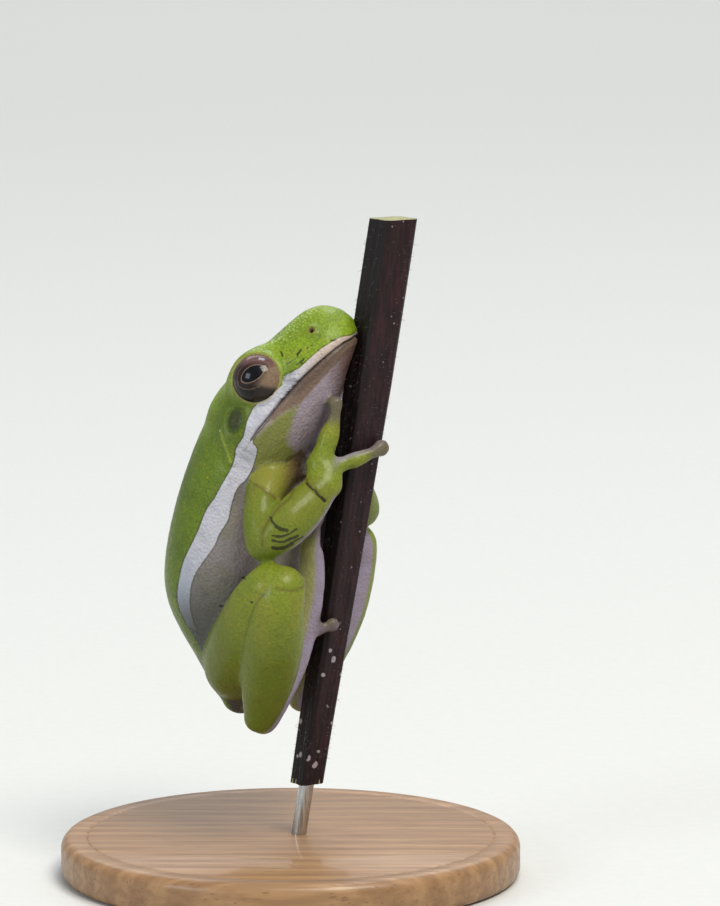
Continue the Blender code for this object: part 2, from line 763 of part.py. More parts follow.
def rod_ends():
    way = (STEM_TOP - STEM_FOOT).normalized()
    top = STEM_FOOT + way * ROD_IN_STEM
    foot = STEM_FOOT - way * ((STEM_FOOT.z - BASE_HEIGHT + ROD_IN_BASE) / way.z)
    return foot, top


def make_rod():
    foot, top = rod_ends()
    return cylinder(foot, top, ROD_RADIUS, 20, "stand_rod")


def make_base():
    """A flat round base with a small bevel, and a hole for the rod."""
    bm = bmesh.new()
    bmesh.ops.create_circle(bm, cap_ends=True, segments=48, radius=BASE_RADIUS)
    top = bmesh.ops.extrude_face_region(bm, geom=bm.faces[:])["geom"]
    raised = [item for item in top if isinstance(item, bmesh.types.BMVert)]
    bmesh.ops.translate(bm, vec=UP * BASE_HEIGHT, verts=raised)
    rims = [edge for edge in bm.edges if edge.verts[0].co.z == edge.verts[1].co.z]
    bmesh.ops.bevel(
        bm, geom=rims, offset=BASE_BEVEL, segments=2, profile=0.5, affect="EDGES", material=-1
    )
    base = object_from(bm, "stand_base")
    foot, top = rod_ends()
    way = (top - foot).normalized()
    hole = cylinder(foot - way * GAP, foot + way * BASE_HEIGHT, ROD_RADIUS + GAP, 20, "hole")
    return boolean(base, "DIFFERENCE", [hole])


def srgb(code):
    """A hex colour as linear values."""
    parts = [int(code[k : k + 2], 16) / 255 for k in (1, 3, 5)]
    return [c / 12.92 if c <= 0.04045 else ((c + 0.055) / 1.055) ** 2.4 for c in parts] + [1.0]


def material(name, colour, roughness, metallic=0.0):
    made = bpy.data.materials.new(name)
    made.use_nodes = True
    shader = made.node_tree.nodes["Principled BSDF"]
    shader.inputs["Base Color"].default_value = srgb(colour)
    shader.inputs["Roughness"].default_value = roughness
    shader.inputs["Metallic"].default_value = metallic
    made.diffuse_color = srgb(colour)
    return made


def finish(thing, paint):
    """Metres, smooth round faces and one material."""
    mesh = thing.data
    mesh.transform(Matrix.Scale(0.001, 4))
    mesh.materials.clear()
    mesh.materials.append(paint)
    mesh.shade_smooth()
    mesh.set_sharp_from_angle(angle=math.radians(40))


def build():
    clear_scene()
    skin = material("moist_skin", "#7f9a3a", 0.35)
    cornea = material("eye", "#4a3b36", 0.08)
    bark = material("stem_skin", "#3a2528", 0.6)
    wood = material("base_wood", "#8a6a4a", 0.5)
    steel = material("rod_steel", "#b8b8b4", 0.3, 1.0)
    head, torso = make_trunk_and_head()
    finish(head, skin)
    finish(torso, skin)
    finish(make_eye(-1, "right_eye"), cornea)
    finish(make_eye(1, "left_eye"), cornea)
    for side in FORMS:
        for part, clear_of in LIMB_ORDER:
            finish(make_limb_part(side, part, clear_of), skin)
    finish(make_perch(), bark)
    finish(make_rod(), steel)
    finish(make_base(), wood)


build()
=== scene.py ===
"""The looks of a green tree frog that grips a cut length of stem, on a plain display stand.

Lengths are in millimetres and turn into metres when a piece is finished. X runs across the view
of the frog's right side, Y away from the viewer, Z up, as in the solids. Places on the skin that
are read from the photograph are given as they are seen there, in its pixels.
"""

import math

import bmesh
import bpy
import numpy as np
from mathutils import Matrix, Vector, noise
from mathutils.bvhtree import BVHTree
from mathutils.kdtree import KDTree


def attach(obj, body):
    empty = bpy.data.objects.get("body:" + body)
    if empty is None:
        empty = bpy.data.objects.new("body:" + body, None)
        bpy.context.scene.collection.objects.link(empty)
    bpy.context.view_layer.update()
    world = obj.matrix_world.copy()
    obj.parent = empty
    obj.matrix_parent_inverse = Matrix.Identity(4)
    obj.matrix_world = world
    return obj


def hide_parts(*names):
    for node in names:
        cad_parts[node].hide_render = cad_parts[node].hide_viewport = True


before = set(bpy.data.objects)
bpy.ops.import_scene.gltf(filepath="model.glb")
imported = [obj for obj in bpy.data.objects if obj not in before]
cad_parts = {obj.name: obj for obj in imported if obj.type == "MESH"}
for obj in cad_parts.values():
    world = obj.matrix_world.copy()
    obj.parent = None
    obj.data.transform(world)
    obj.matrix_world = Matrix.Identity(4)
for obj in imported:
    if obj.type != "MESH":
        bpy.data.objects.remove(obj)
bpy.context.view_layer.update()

# Sizes shared with the solids
VIEW_RISE = math.radians(8.0)  # the viewer looks down by this much
BODY_TURN = math.radians(18.0)  # the belly is turned this far towards the viewer
BODY_PIVOT = 4.0  # across, where the frog's midplane meets the stem's plane
HEAD_PITCH = math.radians(48.7)  # the jaw line points up by this much
STEM_FOOT = Vector((2.03, 0.0, 11.6))
STEM_TOP = Vector((12.9, 0.0, 83.0))
STEM_FOOT_RADIUS = 2.1
STEM_TOP_RADIUS = 3.05
STEM_WIDE_FROM = 62.0  # the height at which the stem has its full thickness
STEM_TURN = math.radians(-11.2)  # one corner of the square stem faces the viewer, nearly
STEM_FLAT = 0.24  # how far the flat sides lie inside the corners, of the radius
BASE_RADIUS = 29.0
BASE_HEIGHT = 5.0
ROD_RADIUS = 0.95
ROD_IN_STEM = 4.0
ROD_IN_BASE = 3.0
EYE_RADIUS = 3.35
EYE_OPENING = 3.0  # radius of the ring between the lids
EYE_PLACE = (-9.05, 4.62, 5.35)  # ahead of the mouth's front, above the jaw line, beside
EYE_AHEAD = math.radians(14.0)
EYE_UP = math.radians(8.0)
BROW_PLACE = (-9.2, 4.65, 4.4)  # middle of the swelling that carries the eye, as for the eye
BROW_HALF = (5.2, 4.1, 3.7)  # its half lengths ahead, above and beside
HEAD_LEVEL = 1.2  # the head is widest this far above the jaw line
HEAD_SQUARE = 2.3  # power of the head's section, over 2 for squarer shoulders
HEAD_NARROW = 0.22  # the head's top is narrower by this share
TRUNK_SQUARE = 2.15
TRUNK_NARROW = 0.06
KNEE_HEIGHT = 38.0
HEEL_HEIGHT = 22.0

# Ends of the forms, finer than in the solids: reach and size of each ring
END_ROUNDING = ((0.98, 0.2), (0.92, 0.39), (0.79, 0.61), (0.6, 0.8), (0.31, 0.95))
RUMP_ROUNDING = ((0.5, 0.93), (0.95, 0.78), (1.3, 0.58), (1.5, 0.3))
SNOUT_ROUNDING = ((0.22, 0.8), (0.36, 0.45))

# Shape of the digits
JOINT_SWELL = 0.1  # of the radius at a joint
TIP_TAPER = 0.12  # of the radius, from root to tip
PAD_WIDTH = 1.34  # of the tip's radius
PAD_THICKNESS = 0.8  # of the pad's width

# The base with its rounded rim and bead: millimetres inward from the rim, and height
BASE_OUTLINE = (
    (BASE_RADIUS, 0.0), (0.9, 0.0), (0.3, 0.25), (0.0, 0.9), (0.0, BASE_HEIGHT - 1.3),
    (0.15, BASE_HEIGHT - 0.75), (0.55, BASE_HEIGHT - 0.25), (1.1, BASE_HEIGHT), (3.0, BASE_HEIGHT),
    (3.3, BASE_HEIGHT - 0.18), (3.6, BASE_HEIGHT), (BASE_RADIUS - 8.0, BASE_HEIGHT),
    (BASE_RADIUS, BASE_HEIGHT),
)
SHARP_EDGE = math.radians(50.0)  # past this angle an edge of stem, base or rod stays sharp

# The photograph's frame
PHOTO_WIDTH = 720
PHOTO_HEIGHT = 906
PIXELS_PER_MM = 8.0
CAMERA_AWAY = 600.0
CAMERA_AIM = Vector((8.75, 0.0, 53.6))
SENSOR = 36.0

# Lamps: name, place, aim, width, watts and colour
LAMPS = (
    ("key", (500.0, -700.0, 1400.0), (0.0, 0.0, 48.0), 700, 24.5, "#fffaf0"),
    ("fill", (-1100.0, -800.0, 600.0), (0.0, 0.0, 48.0), 500, 6.0, "#eaf1ff"),
    ("sky", (150.0, 600.0, 1500.0), (0.0, 0.0, 48.0), 420, 7.0, "#e3ecff"),
    ("backdrop", (0.0, 2600.0, 1800.0), (0.0, 2600.0, 0.0), 2500, 37.0, "#ffffff"),
)

UP = Vector((0.0, 0.0, 1.0))
AWAY = Vector((0.0, 1.0, 0.0))
ACROSS = Vector((1.0, 0.0, 0.0))
LEFT = Vector((math.sin(BODY_TURN), math.cos(BODY_TURN), 0.0))
BELLY = Vector((math.cos(BODY_TURN), -math.sin(BODY_TURN), 0.0))
FORWARD = BELLY * math.cos(HEAD_PITCH) + UP * math.sin(HEAD_PITCH)
CROWN = UP * math.cos(HEAD_PITCH) - BELLY * math.sin(HEAD_PITCH)
SIGHT = Vector((0.0, math.cos(VIEW_RISE), -math.sin(VIEW_RISE)))
SEEN_UP = Vector((0.0, math.sin(VIEW_RISE), math.cos(VIEW_RISE)))

# The skin
SKIN_VOXEL = 0.31  # the grid that it is first made on
FILL_ROUNDS = 48  # how often the hollows between forms are drawn out
STEM_CLEARANCE = 0.04  # between skin and stem
ORBIT_FLESH = 0.55  # round an eyeball, under the lids
LID_RISE = 0.36  # of the lids' rounded edge over the eyeball
LID_FALL = 1.9  # the width over which the lids run out, before the folds are carved
LID_FALL_CARVED = 0.6  # and after
NOSTRIL_PLACE = (-0.1, 3.95)  # ahead of and above the mouth's front
GRANULE_SIZE = 0.36
BODY_SIDES = 72  # points round a section of the trunk or head
HEAD_SHAPE = (BODY_SIDES, HEAD_SQUARE, HEAD_NARROW)
TRUNK_SHAPE = (BODY_SIDES, TRUNK_SQUARE, TRUNK_NARROW)

# Values that stand for far from a thing, well outside a marking, and off every stroke
FAR = 9.0
OUTSIDE = -3.0
OFF_STROKES = -2.0
SHOWN = 0.05  # how far a place on the skin faces the viewer, at least, to carry a small mark

# The stem's ribs, hairs and cut ends
RIB_COUNT = 20
RIB_RISE = 0.045
STEM_WAVE = 0.07
STEM_SIDES = 96
STEM_LEVELS = 120
CUT_RINGS = (0.3, 0.78, 0.9, 0.97)
HAIR_SEED = 7
HAIR_COUNT = 1200
HAIR_RADIUS = 0.022
HAIR_TIP = 0.006
HAIR_LENGTHS = (0.25, 0.6)
SHADED_SIDE = math.radians(213.0)  # the side away from the light
CRUST_TOP = 34.0  # the height below which the pale crust sets in
CRUST_FULL = 28.0  # and below which it is full

# Colours of the skin
BACK_GREEN = "#7b9316"
# Painted shade on the lower back
BACK_SHADE_GREEN = "#627718"
# Deep green of the back's clouds and granules, and also of painted shade low on the back
BACK_DEEP_GREEN = "#40530d"
BACK_YELLOW = "#8a902a"
LIMB_GREEN = "#727f20"
LIMB_YELLOW = "#86832a"
# Deeper green of the limbs' clouds and granules, and also of painted shade on them
LIMB_DEEP_GREEN = "#505b16"
FLANK_LILAC = "#827b79"
FLANK_OLIVE = "#706e57"
FLANK_PINK = "#938480"
# Dark clouds of the flank, and also painted shade on the flank and the stripe
FLANK_DARK = "#41423b"
THROAT_LILAC = "#93868f"
THROAT_PINK = "#7d6b70"
THROAT_TAN = "#684835"
JAW_GREEN = "#75783a"
LIP_TAN = "#6f5b4b"
# Painted shadow of the upper lip, just under the mouth
LIP_SHADOW_BROWN = "#54443b"
LIP_PALE = "#b7a08e"
STRIPE_WHITE = "#b6b5bc"
STRIPE_LILAC = "#9a99a6"
STRIPE_BLUE = "#8d98a4"
INNER_LILAC = "#8b8194"
INNER_PINK = "#85757a"
PAD_BROWN = "#5b4f4a"
# Painted highlight along the ear fold
RIDGE_HIGHLIGHT_YELLOW = "#a3ad4a"
DRUM_OLIVE = "#2a2f17"
LID_PALE = "#8f8150"
GOLD = "#a08a1e"
DOT_PALE = "#aab79c"
BELLY_CREAM = "#b9b1a2"
FOOT_STRAW = "#a19b70"
# Painted sheen on the granules of the head's top
PAINTED_CROWN_SHEEN = "#b4c79c"
CHEST_OLIVE = "#7a7a2c"
# Painted shade where the chest falls back behind the arm and the throat
CHEST_SHADE_BROWN = "#6a5240"
# Painted shade in the folds of the limbs and the wrinkles of the stripe
FOLD_SHADE_BROWN = "#5a4a22"
EDGE_DARK = "#33341c"
# Painted shade where thigh and shank meet, below the knee's top
CREASE_SHADE_BROWN = "#46411a"
MARK_DARK = "#23240f"
NOSTRIL_BROWN = "#6a4a38"
NOSTRIL_DARK = "#2a1813"
# Painted shade in the groove of the mouth
MOUTH_SHADE_DARK = "#33241d"


def seen(across, up, depth):
    """The place that is seen at across and up, and lies this deep behind the stem's plane."""
    return Vector((across, depth, (up - depth * math.sin(VIEW_RISE)) / math.cos(VIEW_RISE)))


def on_midplane(across, up):
    """The place on the frog's midplane that is seen at across and up."""
    return seen(across, up, -(across - BODY_PIVOT) * math.tan(BODY_TURN))


def mirrored(place):
    """The same place on the frog's other side."""
    beside = (place - Vector((BODY_PIVOT, 0.0, 0.0))).dot(LEFT)
    return place - LEFT * (2.0 * beside)


MOUTH_FRONT = on_midplane(6.9, 66.1)


def head_place(ahead, above, beside):
    """A place on the head, from the front of the mouth."""
    return MOUTH_FRONT + FORWARD * ahead + CROWN * above + LEFT * beside


# Trunk stations: the back's place, the belly's place, both as seen, and the half width
TRUNK = (
    (-6.0, 62.6, 1.6, 56.4, 5.4),
    (-8.5, 60.4, 1.7, 53.0, 7.0),
    (-11.0, 55.6, 1.7, 49.6, 8.0),
    (-12.9, 50.6, 1.6, 46.0, 8.6),
    (-14.4, 45.4, 1.4, 42.0, 9.0),
    (-15.3, 40.2, 1.0, 37.8, 9.1),
    (-15.2, 35.8, 0.2, 33.4, 8.7),
    (-13.7, 32.0, -0.8, 29.2, 7.9),
    (-11.6, 28.4, -2.0, 25.8, 6.8),
    (-9.8, 25.0, -3.2, 23.2, 5.4),
    (-8.4, 22.2, -4.4, 21.4, 3.6),
)
# Head stations: ahead of the mouth's front, top, bottom, half width
HEAD = (
    (-21.0, 6.0, -4.6, 6.6),
    (-17.5, 8.0, -5.7, 8.0),
    (-14.2, 8.5, -5.6, 8.5),
    (-11.0, 8.4, -5.1, 8.4),
    (-8.0, 8.1, -4.3, 7.9),
    (-5.0, 7.7, -3.3, 7.0),
    (-2.5, 7.4, -2.2, 6.1),
    (-0.6, 7.1, -1.5, 5.2),
    (1.0, 6.5, -0.8, 4.1),
    (2.2, 5.6, 0.0, 2.8),
    (3.0, 4.3, 1.2, 1.5),
)
MOUTH_LINE = ((-14.4, 0.0), (-11.0, 0.35), (-7.0, 0.6), (-2.0, 0.35), (1.4, 0.0))

# Limb stations: across, up, depth, half width across, half depth
RIGHT_LIMBS = {
    "upper_arm": (
        (-1.2, 51.8, -1.0, 2.6, 2.5),
        (-2.8, 48.6, -5.2, 2.3, 2.2),
        (-3.6, 45.2, -8.0, 2.15, 2.2),
        (-3.1, 42.0, -9.6, 2.35, 2.3),
    ),
    "forearm": (
        (-2.6, 42.2, -9.9, 2.35, 2.3),
        (-0.5, 43.9, -9.7, 2.75, 2.5),
        (1.9, 46.3, -8.3, 2.7, 2.3),
        (4.0, 48.7, -6.8, 2.1, 1.8),
    ),
    "thigh": (
        (-7.1, 24.7, 1.2, 3.0, 3.0),
        (-6.9, 26.9, -2.9, 4.0, 4.1),
        (-5.4, 30.4, -7.2, 4.2, 4.2),
        (-3.6, 34.0, -9.8, 3.9, 3.8),
        (-2.1, 36.1, -11.2, 3.6, 3.4),
    ),
    "shank": (
        (-0.8, 36.3, -12.0, 3.0, 3.0),
        (-1.4, 33.8, -12.2, 3.3, 3.2),
        (-1.9, 30.0, -11.0, 3.7, 3.4),
        (-2.5, 26.0, -9.1, 3.5, 3.1),
        (-3.2, 22.6, -7.6, 2.8, 2.6),
        (-3.8, 20.2, -6.6, 2.0, 2.1),
    ),
    "sole": (
        (-3.3, 19.8, -5.6, 1.9, 1.9),
        (-1.7, 22.6, -5.4, 1.9, 1.8),
        (0.2, 26.2, -4.9, 1.8, 1.7),
        (1.3, 29.6, -4.4, 1.75, 1.6),
        (2.1, 33.2, -4.0, 1.85, 1.4),
        (2.7, 37.2, -3.7, 1.75, 1.3),
        (2.8, 40.6, -3.5, 1.5, 1.2),
    ),
    "palm": (
        (4.3, 49.0, -6.5, 2.3, 1.8),
        (4.3, 50.4, -5.9, 2.3, 1.6),
        (4.1, 51.7, -5.2, 1.9, 1.35),
    ),
}
RIGHT_FINGERS = (
    (
        (3.7, 51.6, -5.2, 1.6),
        (4.35, 53.5, -4.8, 1.5),
        (5.0, 55.4, -4.5, 1.25),
        (5.6, 57.4, -4.4, 1.0),
        (5.75, 59.2, -4.3, 0.75),
    ),
    (
        (5.0, 51.2, -5.3, 1.25),
        (6.6, 51.7, -4.7, 1.1),
        (8.3, 52.3, -4.3, 1.0),
        (10.0, 53.0, -3.9, 0.95),
        (11.4, 53.7, -2.6, 0.9),
    ),
    ((4.4, 50.4, -5.4, 1.1), (4.3, 50.4, -3.2, 0.9), (4.3, 50.2, -1.0, 0.8), (4.9, 50.0, 1.2, 0.9)),
    ((4.4, 49.6, -5.6, 1.1), (4.5, 48.4, -3.8, 0.9), (4.2, 47.6, -2.0, 0.8), (4.0, 47.2, -0.2, 0.9)),
)
RIGHT_TOES = (
    ((1.9, 30.2, -4.4, 0.9), (3.2, 30.8, -4.1, 0.75), (4.4, 31.3, -3.7, 0.7), (5.3, 31.6, -3.4, 0.75)),
    ((2.9, 39.8, -3.6, 0.9), (3.2, 42.6, -3.4, 0.7), (3.3, 45.1, -3.2, 0.85)),
    ((2.8, 39.8, -3.5, 0.9), (3.1, 43.4, -3.3, 0.7), (3.4, 47.6, -2.6, 0.9)),
    ((2.5, 39.8, -3.3, 0.9), (2.4, 43.2, -2.7, 0.7), (2.9, 47.8, -1.2, 0.9)),
    ((2.2, 39.4, -3.1, 0.9), (1.9, 42.2, -2.2, 0.7), (2.5, 45.4, -0.9, 0.85)),
)
LEFT_KNEE_SHIFT = Vector((0.8, 0.0, 1.6))
LEFT_ARM = {
    "upper_arm": (
        (-0.6, 6.2, 50.8, 2.5, 2.4),
        (2.6, 9.0, 49.0, 2.3, 2.2),
        (5.9, 10.8, 46.4, 2.2, 2.2),
        (8.8, 11.2, 44.7, 2.4, 2.3),
    ),
    "forearm": (
        (8.9, 11.0, 44.8, 2.4, 2.4),
        (8.5, 8.9, 46.2, 2.6, 2.5),
        (8.0, 6.6, 48.0, 2.3, 2.3),
        (7.9, 5.4, 49.6, 1.8, 1.8),
    ),
    "palm": (
        (7.9, 5.3, 49.8, 1.8, 1.6),
        (8.0, 4.9, 51.2, 1.7, 1.4),
        (8.2, 4.6, 52.4, 1.4, 1.2),
    ),
}
LEFT_FINGERS = (
    ((8.3, 4.5, 52.2, 1.1), (8.9, 4.2, 54.6, 0.9), (9.4, 4.0, 57.0, 0.9)),
    ((8.0, 4.6, 52.0, 1.1), (6.4, 4.2, 52.6, 0.85), (4.9, 3.0, 53.0, 0.8), (4.4, 1.4, 53.2, 0.9)),
    ((7.9, 4.8, 51.0, 1.1), (6.0, 4.0, 50.6, 0.85), (4.6, 3.0, 50.4, 0.9)),
    ((8.0, 4.6, 52.2, 1.1), (7.4, 4.3, 55.0, 0.85), (7.0, 4.1, 57.4, 0.9)),
)

# Markings and folds as seen in the photograph, in its pixels
STRIPE_TOP = (
    (338, 338), (330, 344), (321, 352), (312, 359), (299, 369), (289, 381), (281, 389), (266, 393),
    (258, 402), (248, 418), (243, 437), (236, 448), (233.5, 463), (224, 480), (215, 497),
    (206, 510), (199, 528), (192, 543), (184, 559), (179.5, 576), (177, 596), (180, 611), (188, 627),
)
STRIPE_FOOT = (
    (343, 349), (335, 354), (323, 363), (312, 374), (300, 383), (289, 393), (277, 409), (269, 419),
    (253, 440), (257.6, 449), (252, 469.5), (245, 481), (237, 489), (231, 507), (228, 521),
    (220, 533), (214, 547), (204, 561), (194.5, 576), (191, 588), (190, 603), (192, 617), (198, 632),
)
BELOW_VENT = ((212, 668), (236, 720), (420, 720), (420, 330))

# Dark strokes and specks: points and half width
HEAD_STROKES = (
    (((280.8, 351.5), (282.5, 356.0)), 1.0),
    (((297.3, 355.0), (301.2, 349.6)), 1.0),
    (((307.0, 348.3), (308.0, 347.8)), 0.9),
    (((311.4, 346.0), (312.4, 345.2)), 0.8),
    (((318.0, 350.6), (318.6, 350.0)), 0.7),
    (((289.6, 362.7), (293.5, 360.0), (298.0, 356.5)), 0.5),
    (((296.5, 365.0), (300.0, 362.5), (304.2, 358.8)), 0.8),
    (((300.4, 364.6), (306.0, 361.8)), 0.6),
    (((321.0, 354.6), (321.6, 354.2)), 0.6),
    (((331.0, 341.0), (335.6, 340.2)), 0.7),
    (((286.3, 384.2), (287.4, 383.5)), 0.9),
)
ARM_STROKES = (
    (((270.2, 517.0), (273.5, 523.0), (278.0, 527.5)), 1.2),
    (((276.5, 526.5), (281.0, 529.3), (286.5, 530.0)), 2.0),
    (((272.5, 535.5), (278.0, 536.5), (284.0, 535.8), (291.0, 533.0), (296.5, 529.0)), 1.1),
    (((272.5, 540.6), (278.0, 541.8), (284.0, 541.4), (291.0, 538.6), (298.0, 535.6)), 1.3),
    (((272.5, 547.5), (278.5, 548.6), (285.0, 547.2), (292.0, 543.4)), 1.8),
    (((291.0, 543.8), (297.0, 540.0), (303.0, 536.6)), 0.9),
)
ARM_FOLD = (
    (305, 479), (295, 485), (289, 497.5), (279, 506), (270.5, 516), (264.5, 526), (261, 535), (262, 546),
)
WRIST_FOLD = ((305.5, 481.5), (311.0, 487.0), (317.0, 492.0), (325.0, 501.0))
WRIST_STROKES = ((WRIST_FOLD, 0.9), (((317.5, 493.5), (321.0, 497.0), (325.5, 500.6)), 1.6))
LEG_STROKES = (
    (((243.0, 577.6), (244.6, 578.4)), 1.3),
    (((220.8, 606.0), (222.2, 606.2)), 1.4),
    (((250.8, 602.2), (252.2, 602.6)), 1.1),
    (((276.5, 613.5), (277.3, 613.5)), 0.8),
)
# Spots: middle and half width
GOLD_SPOTS = (((208.0, 479.0), 1.7), ((231.0, 441.0), 0.7), ((199.0, 458.0), 0.8), ((187.0, 521.0), 0.8))
PALE_SPOTS = (((220.5, 396.5), 1.3), ((221.0, 431.0), 1.2), ((200.5, 433.0), 1.1), ((264.7, 618.0), 0.9))

# Wrinkles across the stripe behind the jaw, ridges and folds
STRIPE_WRINKLES = (
    ((235, 446), (245, 450.5), (253, 456)),
    ((233.5, 455), (243, 457.5), (250, 463)),
    ((229, 466), (238, 467), (247, 473)),
    ((222, 477), (232, 480), (240, 486)),
)
EAR_FOLD = ((226, 410), (222, 430), (226, 446), (231, 462))
NECK_FOLD = ((254, 472), (262, 470.5), (272, 469), (283, 464.5), (292, 459))
SHOULDER_FOLD = ((254, 484), (262, 488), (270, 493), (277, 499))
KNEE_FOLD = ((276, 588), (286, 590.5), (296, 590), (304, 586))
# Folds of the limbs: line, the forms that have it, depth and width in millimetres
LIMB_FOLDS = (
    (SHOULDER_FOLD, ("upper_arm", "trunk", "head"), 0.18, 0.2),
    (KNEE_FOLD, ("thigh", "shank"), 0.08, 0.18),
    (ARM_FOLD, ("upper_arm", "forearm", "trunk"), 0.2, 0.2),
    (WRIST_FOLD, ("forearm", "hand"), 0.3, 0.22),
)

EARDRUM_AT = (235.4, 420.3)
EARDRUM_HALF = (8.0, 13.5)
EARDRUM_TILT = math.radians(14.0)
# The patches of the chest and of the jaw, behind the corner of the mouth
CHEST_PATCH = (
    (248, 476), (262, 464), (285, 462), (301, 448), (312, 462), (309, 475), (303, 482),
    (295, 486), (289, 498), (281, 505), (277, 499), (270, 493), (262, 488), (252, 482),
)
JAW_PATCH = (
    (250, 436), (258, 433), (267, 424), (283, 411), (301, 401), (294, 419), (288, 441), (298, 456),
    (292, 462), (276, 468), (251, 473),
)
# Widths in millimetres, against the place across: the stripe above the mouth, and the lower lip
STRIPE_WIDTH = ((262, 1.55), (290, 1.15), (322, 1.2), (340, 0.95), (352, 0.6))
LIP_WIDTH = ((253, 0.05), (266, 0.4), (283, 1.1), (301, 2.0), (330, 1.8), (350, 1.3))
KNEE_TOP = 586  # the height at which the folded knee begins
PUPIL_SEEN = (252.7, 373.8)
PUPIL_TILT = math.radians(30.0)
# Millimetres on the eyeball: half length and half height of the pupil and of the iris's inner ring
PUPIL_HALF = (1.5, 0.9)
IRIS_HALF = (2.3, 1.75)

# Joints where a limb runs into the trunk, as limb stations
SHOULDER = (-1.2, 51.8, -1.0)
HIP = (-7.0, 25.6, -0.6)

# The values that the skin carries, and its noises: name, millimetres' size and detail
SKIN_VALUES = (
    "stripe", "under", "throat", "jaw", "lip", "mouth", "limb", "arm", "ridge_highlight", "inner", "marks",
    "gold", "dots", "drum", "nostril", "lid", "crease_shade", "fold", "chest", "pad", "foot", "belly",
    "crown", "across", "height",
)
SKIN_NOISES = (("broad", 5.0, 3.0), ("blotch", 1.4, 4.0), ("fine", 0.5, 2.0), ("pits", 0.3, 2.0))
# How ragged the edges of the markings are, as shares of the fine noise
RAGGED_EDGES = (
    ("stripe", 0.3), ("under", 1.0), ("jaw", 1.5), ("lip", 0.6), ("marks", 0.55), ("drum", 0.5),
)
# The range in which most of a noise's values lie
NOISE_SPAN = {"From Min": 0.3, "From Max": 0.7}

FLESH = ["head", "torso"] + [
    side + "_" + part
    for side in ("right", "left")
    for part in ("thigh", "shank", "foot", "upper_arm", "forearm", "hand")
]


def stored(bm, mesh):
    """Puts the shape into the mesh and gives up the bmesh."""
    bm.to_mesh(mesh)
    bm.free()
    return mesh


def mesh_from(bm, name):
    """A new mesh whose faces point outwards."""
    bmesh.ops.recalc_face_normals(bm, faces=bm.faces)
    return stored(bm, bpy.data.meshes.new(name))


def gathered(*meshes):
    """A bmesh that holds all the meshes."""
    bm = bmesh.new()
    for mesh in meshes:
        bm.from_mesh(mesh)
    return bm


def object_of(mesh, name):
    thing = bpy.data.objects.new(name, mesh)
    bpy.context.scene.collection.objects.link(thing)
    return thing


def applied(thing):
    """Replaces the object's mesh with what its modifiers make of it."""
    graph = bpy.context.evaluated_depsgraph_get()
    result = bpy.data.meshes.new_from_object(thing.evaluated_get(graph))
    thing.modifiers.clear()
    old = thing.data
    thing.data = result
    bpy.data.meshes.remove(old)
    return thing


def between(a, b, c, d, t):
    """The value at t on the smooth curve from b to c, with a before and d after them."""
    square = (2 * a - 5 * b + 4 * c - d) * t**2
    cube = (3 * b - a - 3 * c + d) * t**3
    return 0.5 * (2 * b + (c - a) * t + square + cube)


def through(stations, steps):
    """Values on a smooth curve through the stations, with this many steps to each span."""
    values = []
    last = len(stations) - 1
    for span in range(last):
        before = stations[max(span - 1, 0)]
        start = stations[span]
        end = stations[span + 1]
        after = stations[min(span + 2, last)]
        for step in range(steps):
            t = step / steps
            values.append(tuple(between(*row, t) for row in zip(before, start, end, after)))
    values.append(stations[last])
    return values


def section(centre, side, top, half_width, rise, drop, sides, power=2.0, narrow=0.0):
    """The points of one cross-section, with a power over 2 for squarer shoulders."""
    points = []
    for k in range(sides):
        turn = 2 * math.pi * k / sides
        c = math.cos(turn)
        s = math.sin(turn)
        out = math.copysign(abs(c) ** (2 / power), c) * half_width * (1 - narrow * max(s, 0.0))
        over = math.copysign(abs(s) ** (2 / power), s) * (rise if s > 0 else drop)
        points.append(centre + side * out + top * over)
    return points


def lofted(rings, name):
    """A closed form through the rings, extruded from one to the next."""
    bm = bmesh.new()
    bmesh.ops.create_circle(bm, cap_ends=True, segments=len(rings[0]), radius=1.0)
    bm.faces.ensure_lookup_table()
    end = bm.faces[0]
    for vert, place in zip(end.verts, rings[0]):
        vert.co = place
    for ring in rings[1:]:
        end = bmesh.ops.extrude_discrete_faces(bm, faces=[end])["faces"][0]
        for vert, place in zip(end.verts, ring):
            vert.co = place
    bmesh.ops.holes_fill(bm, edges=bm.edges, sides=0)
    return mesh_from(bm, name)


def limb(places, radii, sides, name, facing):
    """A round-ended form along the places; radii are (across, along the facing way) pairs."""
    rings = []
    last = len(places) - 1
    for k, place in enumerate(places):
        way = (places[min(k + 1, last)] - places[max(k - 1, 0)]).normalized()
        deep = (facing - way * facing.dot(way)).normalized()
        across = way.cross(deep)
        wide, thick = radii[k]
        outward = way * (-1 if k == 0 else 1) * min(wide, thick)
        caps = []
        for reach, size in END_ROUNDING:
            deep_half = thick * size
            spot = place + outward * reach
            caps.append(section(spot, across, deep, wide * size, deep_half, deep_half, sides))
        if k == 0:
            rings += caps
        rings.append(section(place, across, deep, wide, thick, thick, sides))
        if k == last:
            rings += reversed(caps)
    return lofted(rings, name)


def limb_through(stations, name, facing, place=seen, sides=28, steps=7):
    """A limb through stations of across, up, depth and one or two radii."""
    values = through(stations, steps)
    places = [place(*value[:3]) for value in values]
    radii = [(value[3], value[-1]) for value in values]
    return limb(places, radii, sides, name, facing)


def ball(centre, radius, name, rings=24, axes=None):
    """A sphere, or an ellipsoid with axes as the matrix of its half axes."""
    bm = bmesh.new()
    bmesh.ops.create_uvsphere(bm, u_segments=2 * rings, v_segments=rings, radius=radius)
    if axes is not None:
        bmesh.ops.transform(bm, matrix=axes.to_4x4(), verts=bm.verts)
    bmesh.ops.translate(bm, vec=centre, verts=bm.verts)
    return mesh_from(bm, name)


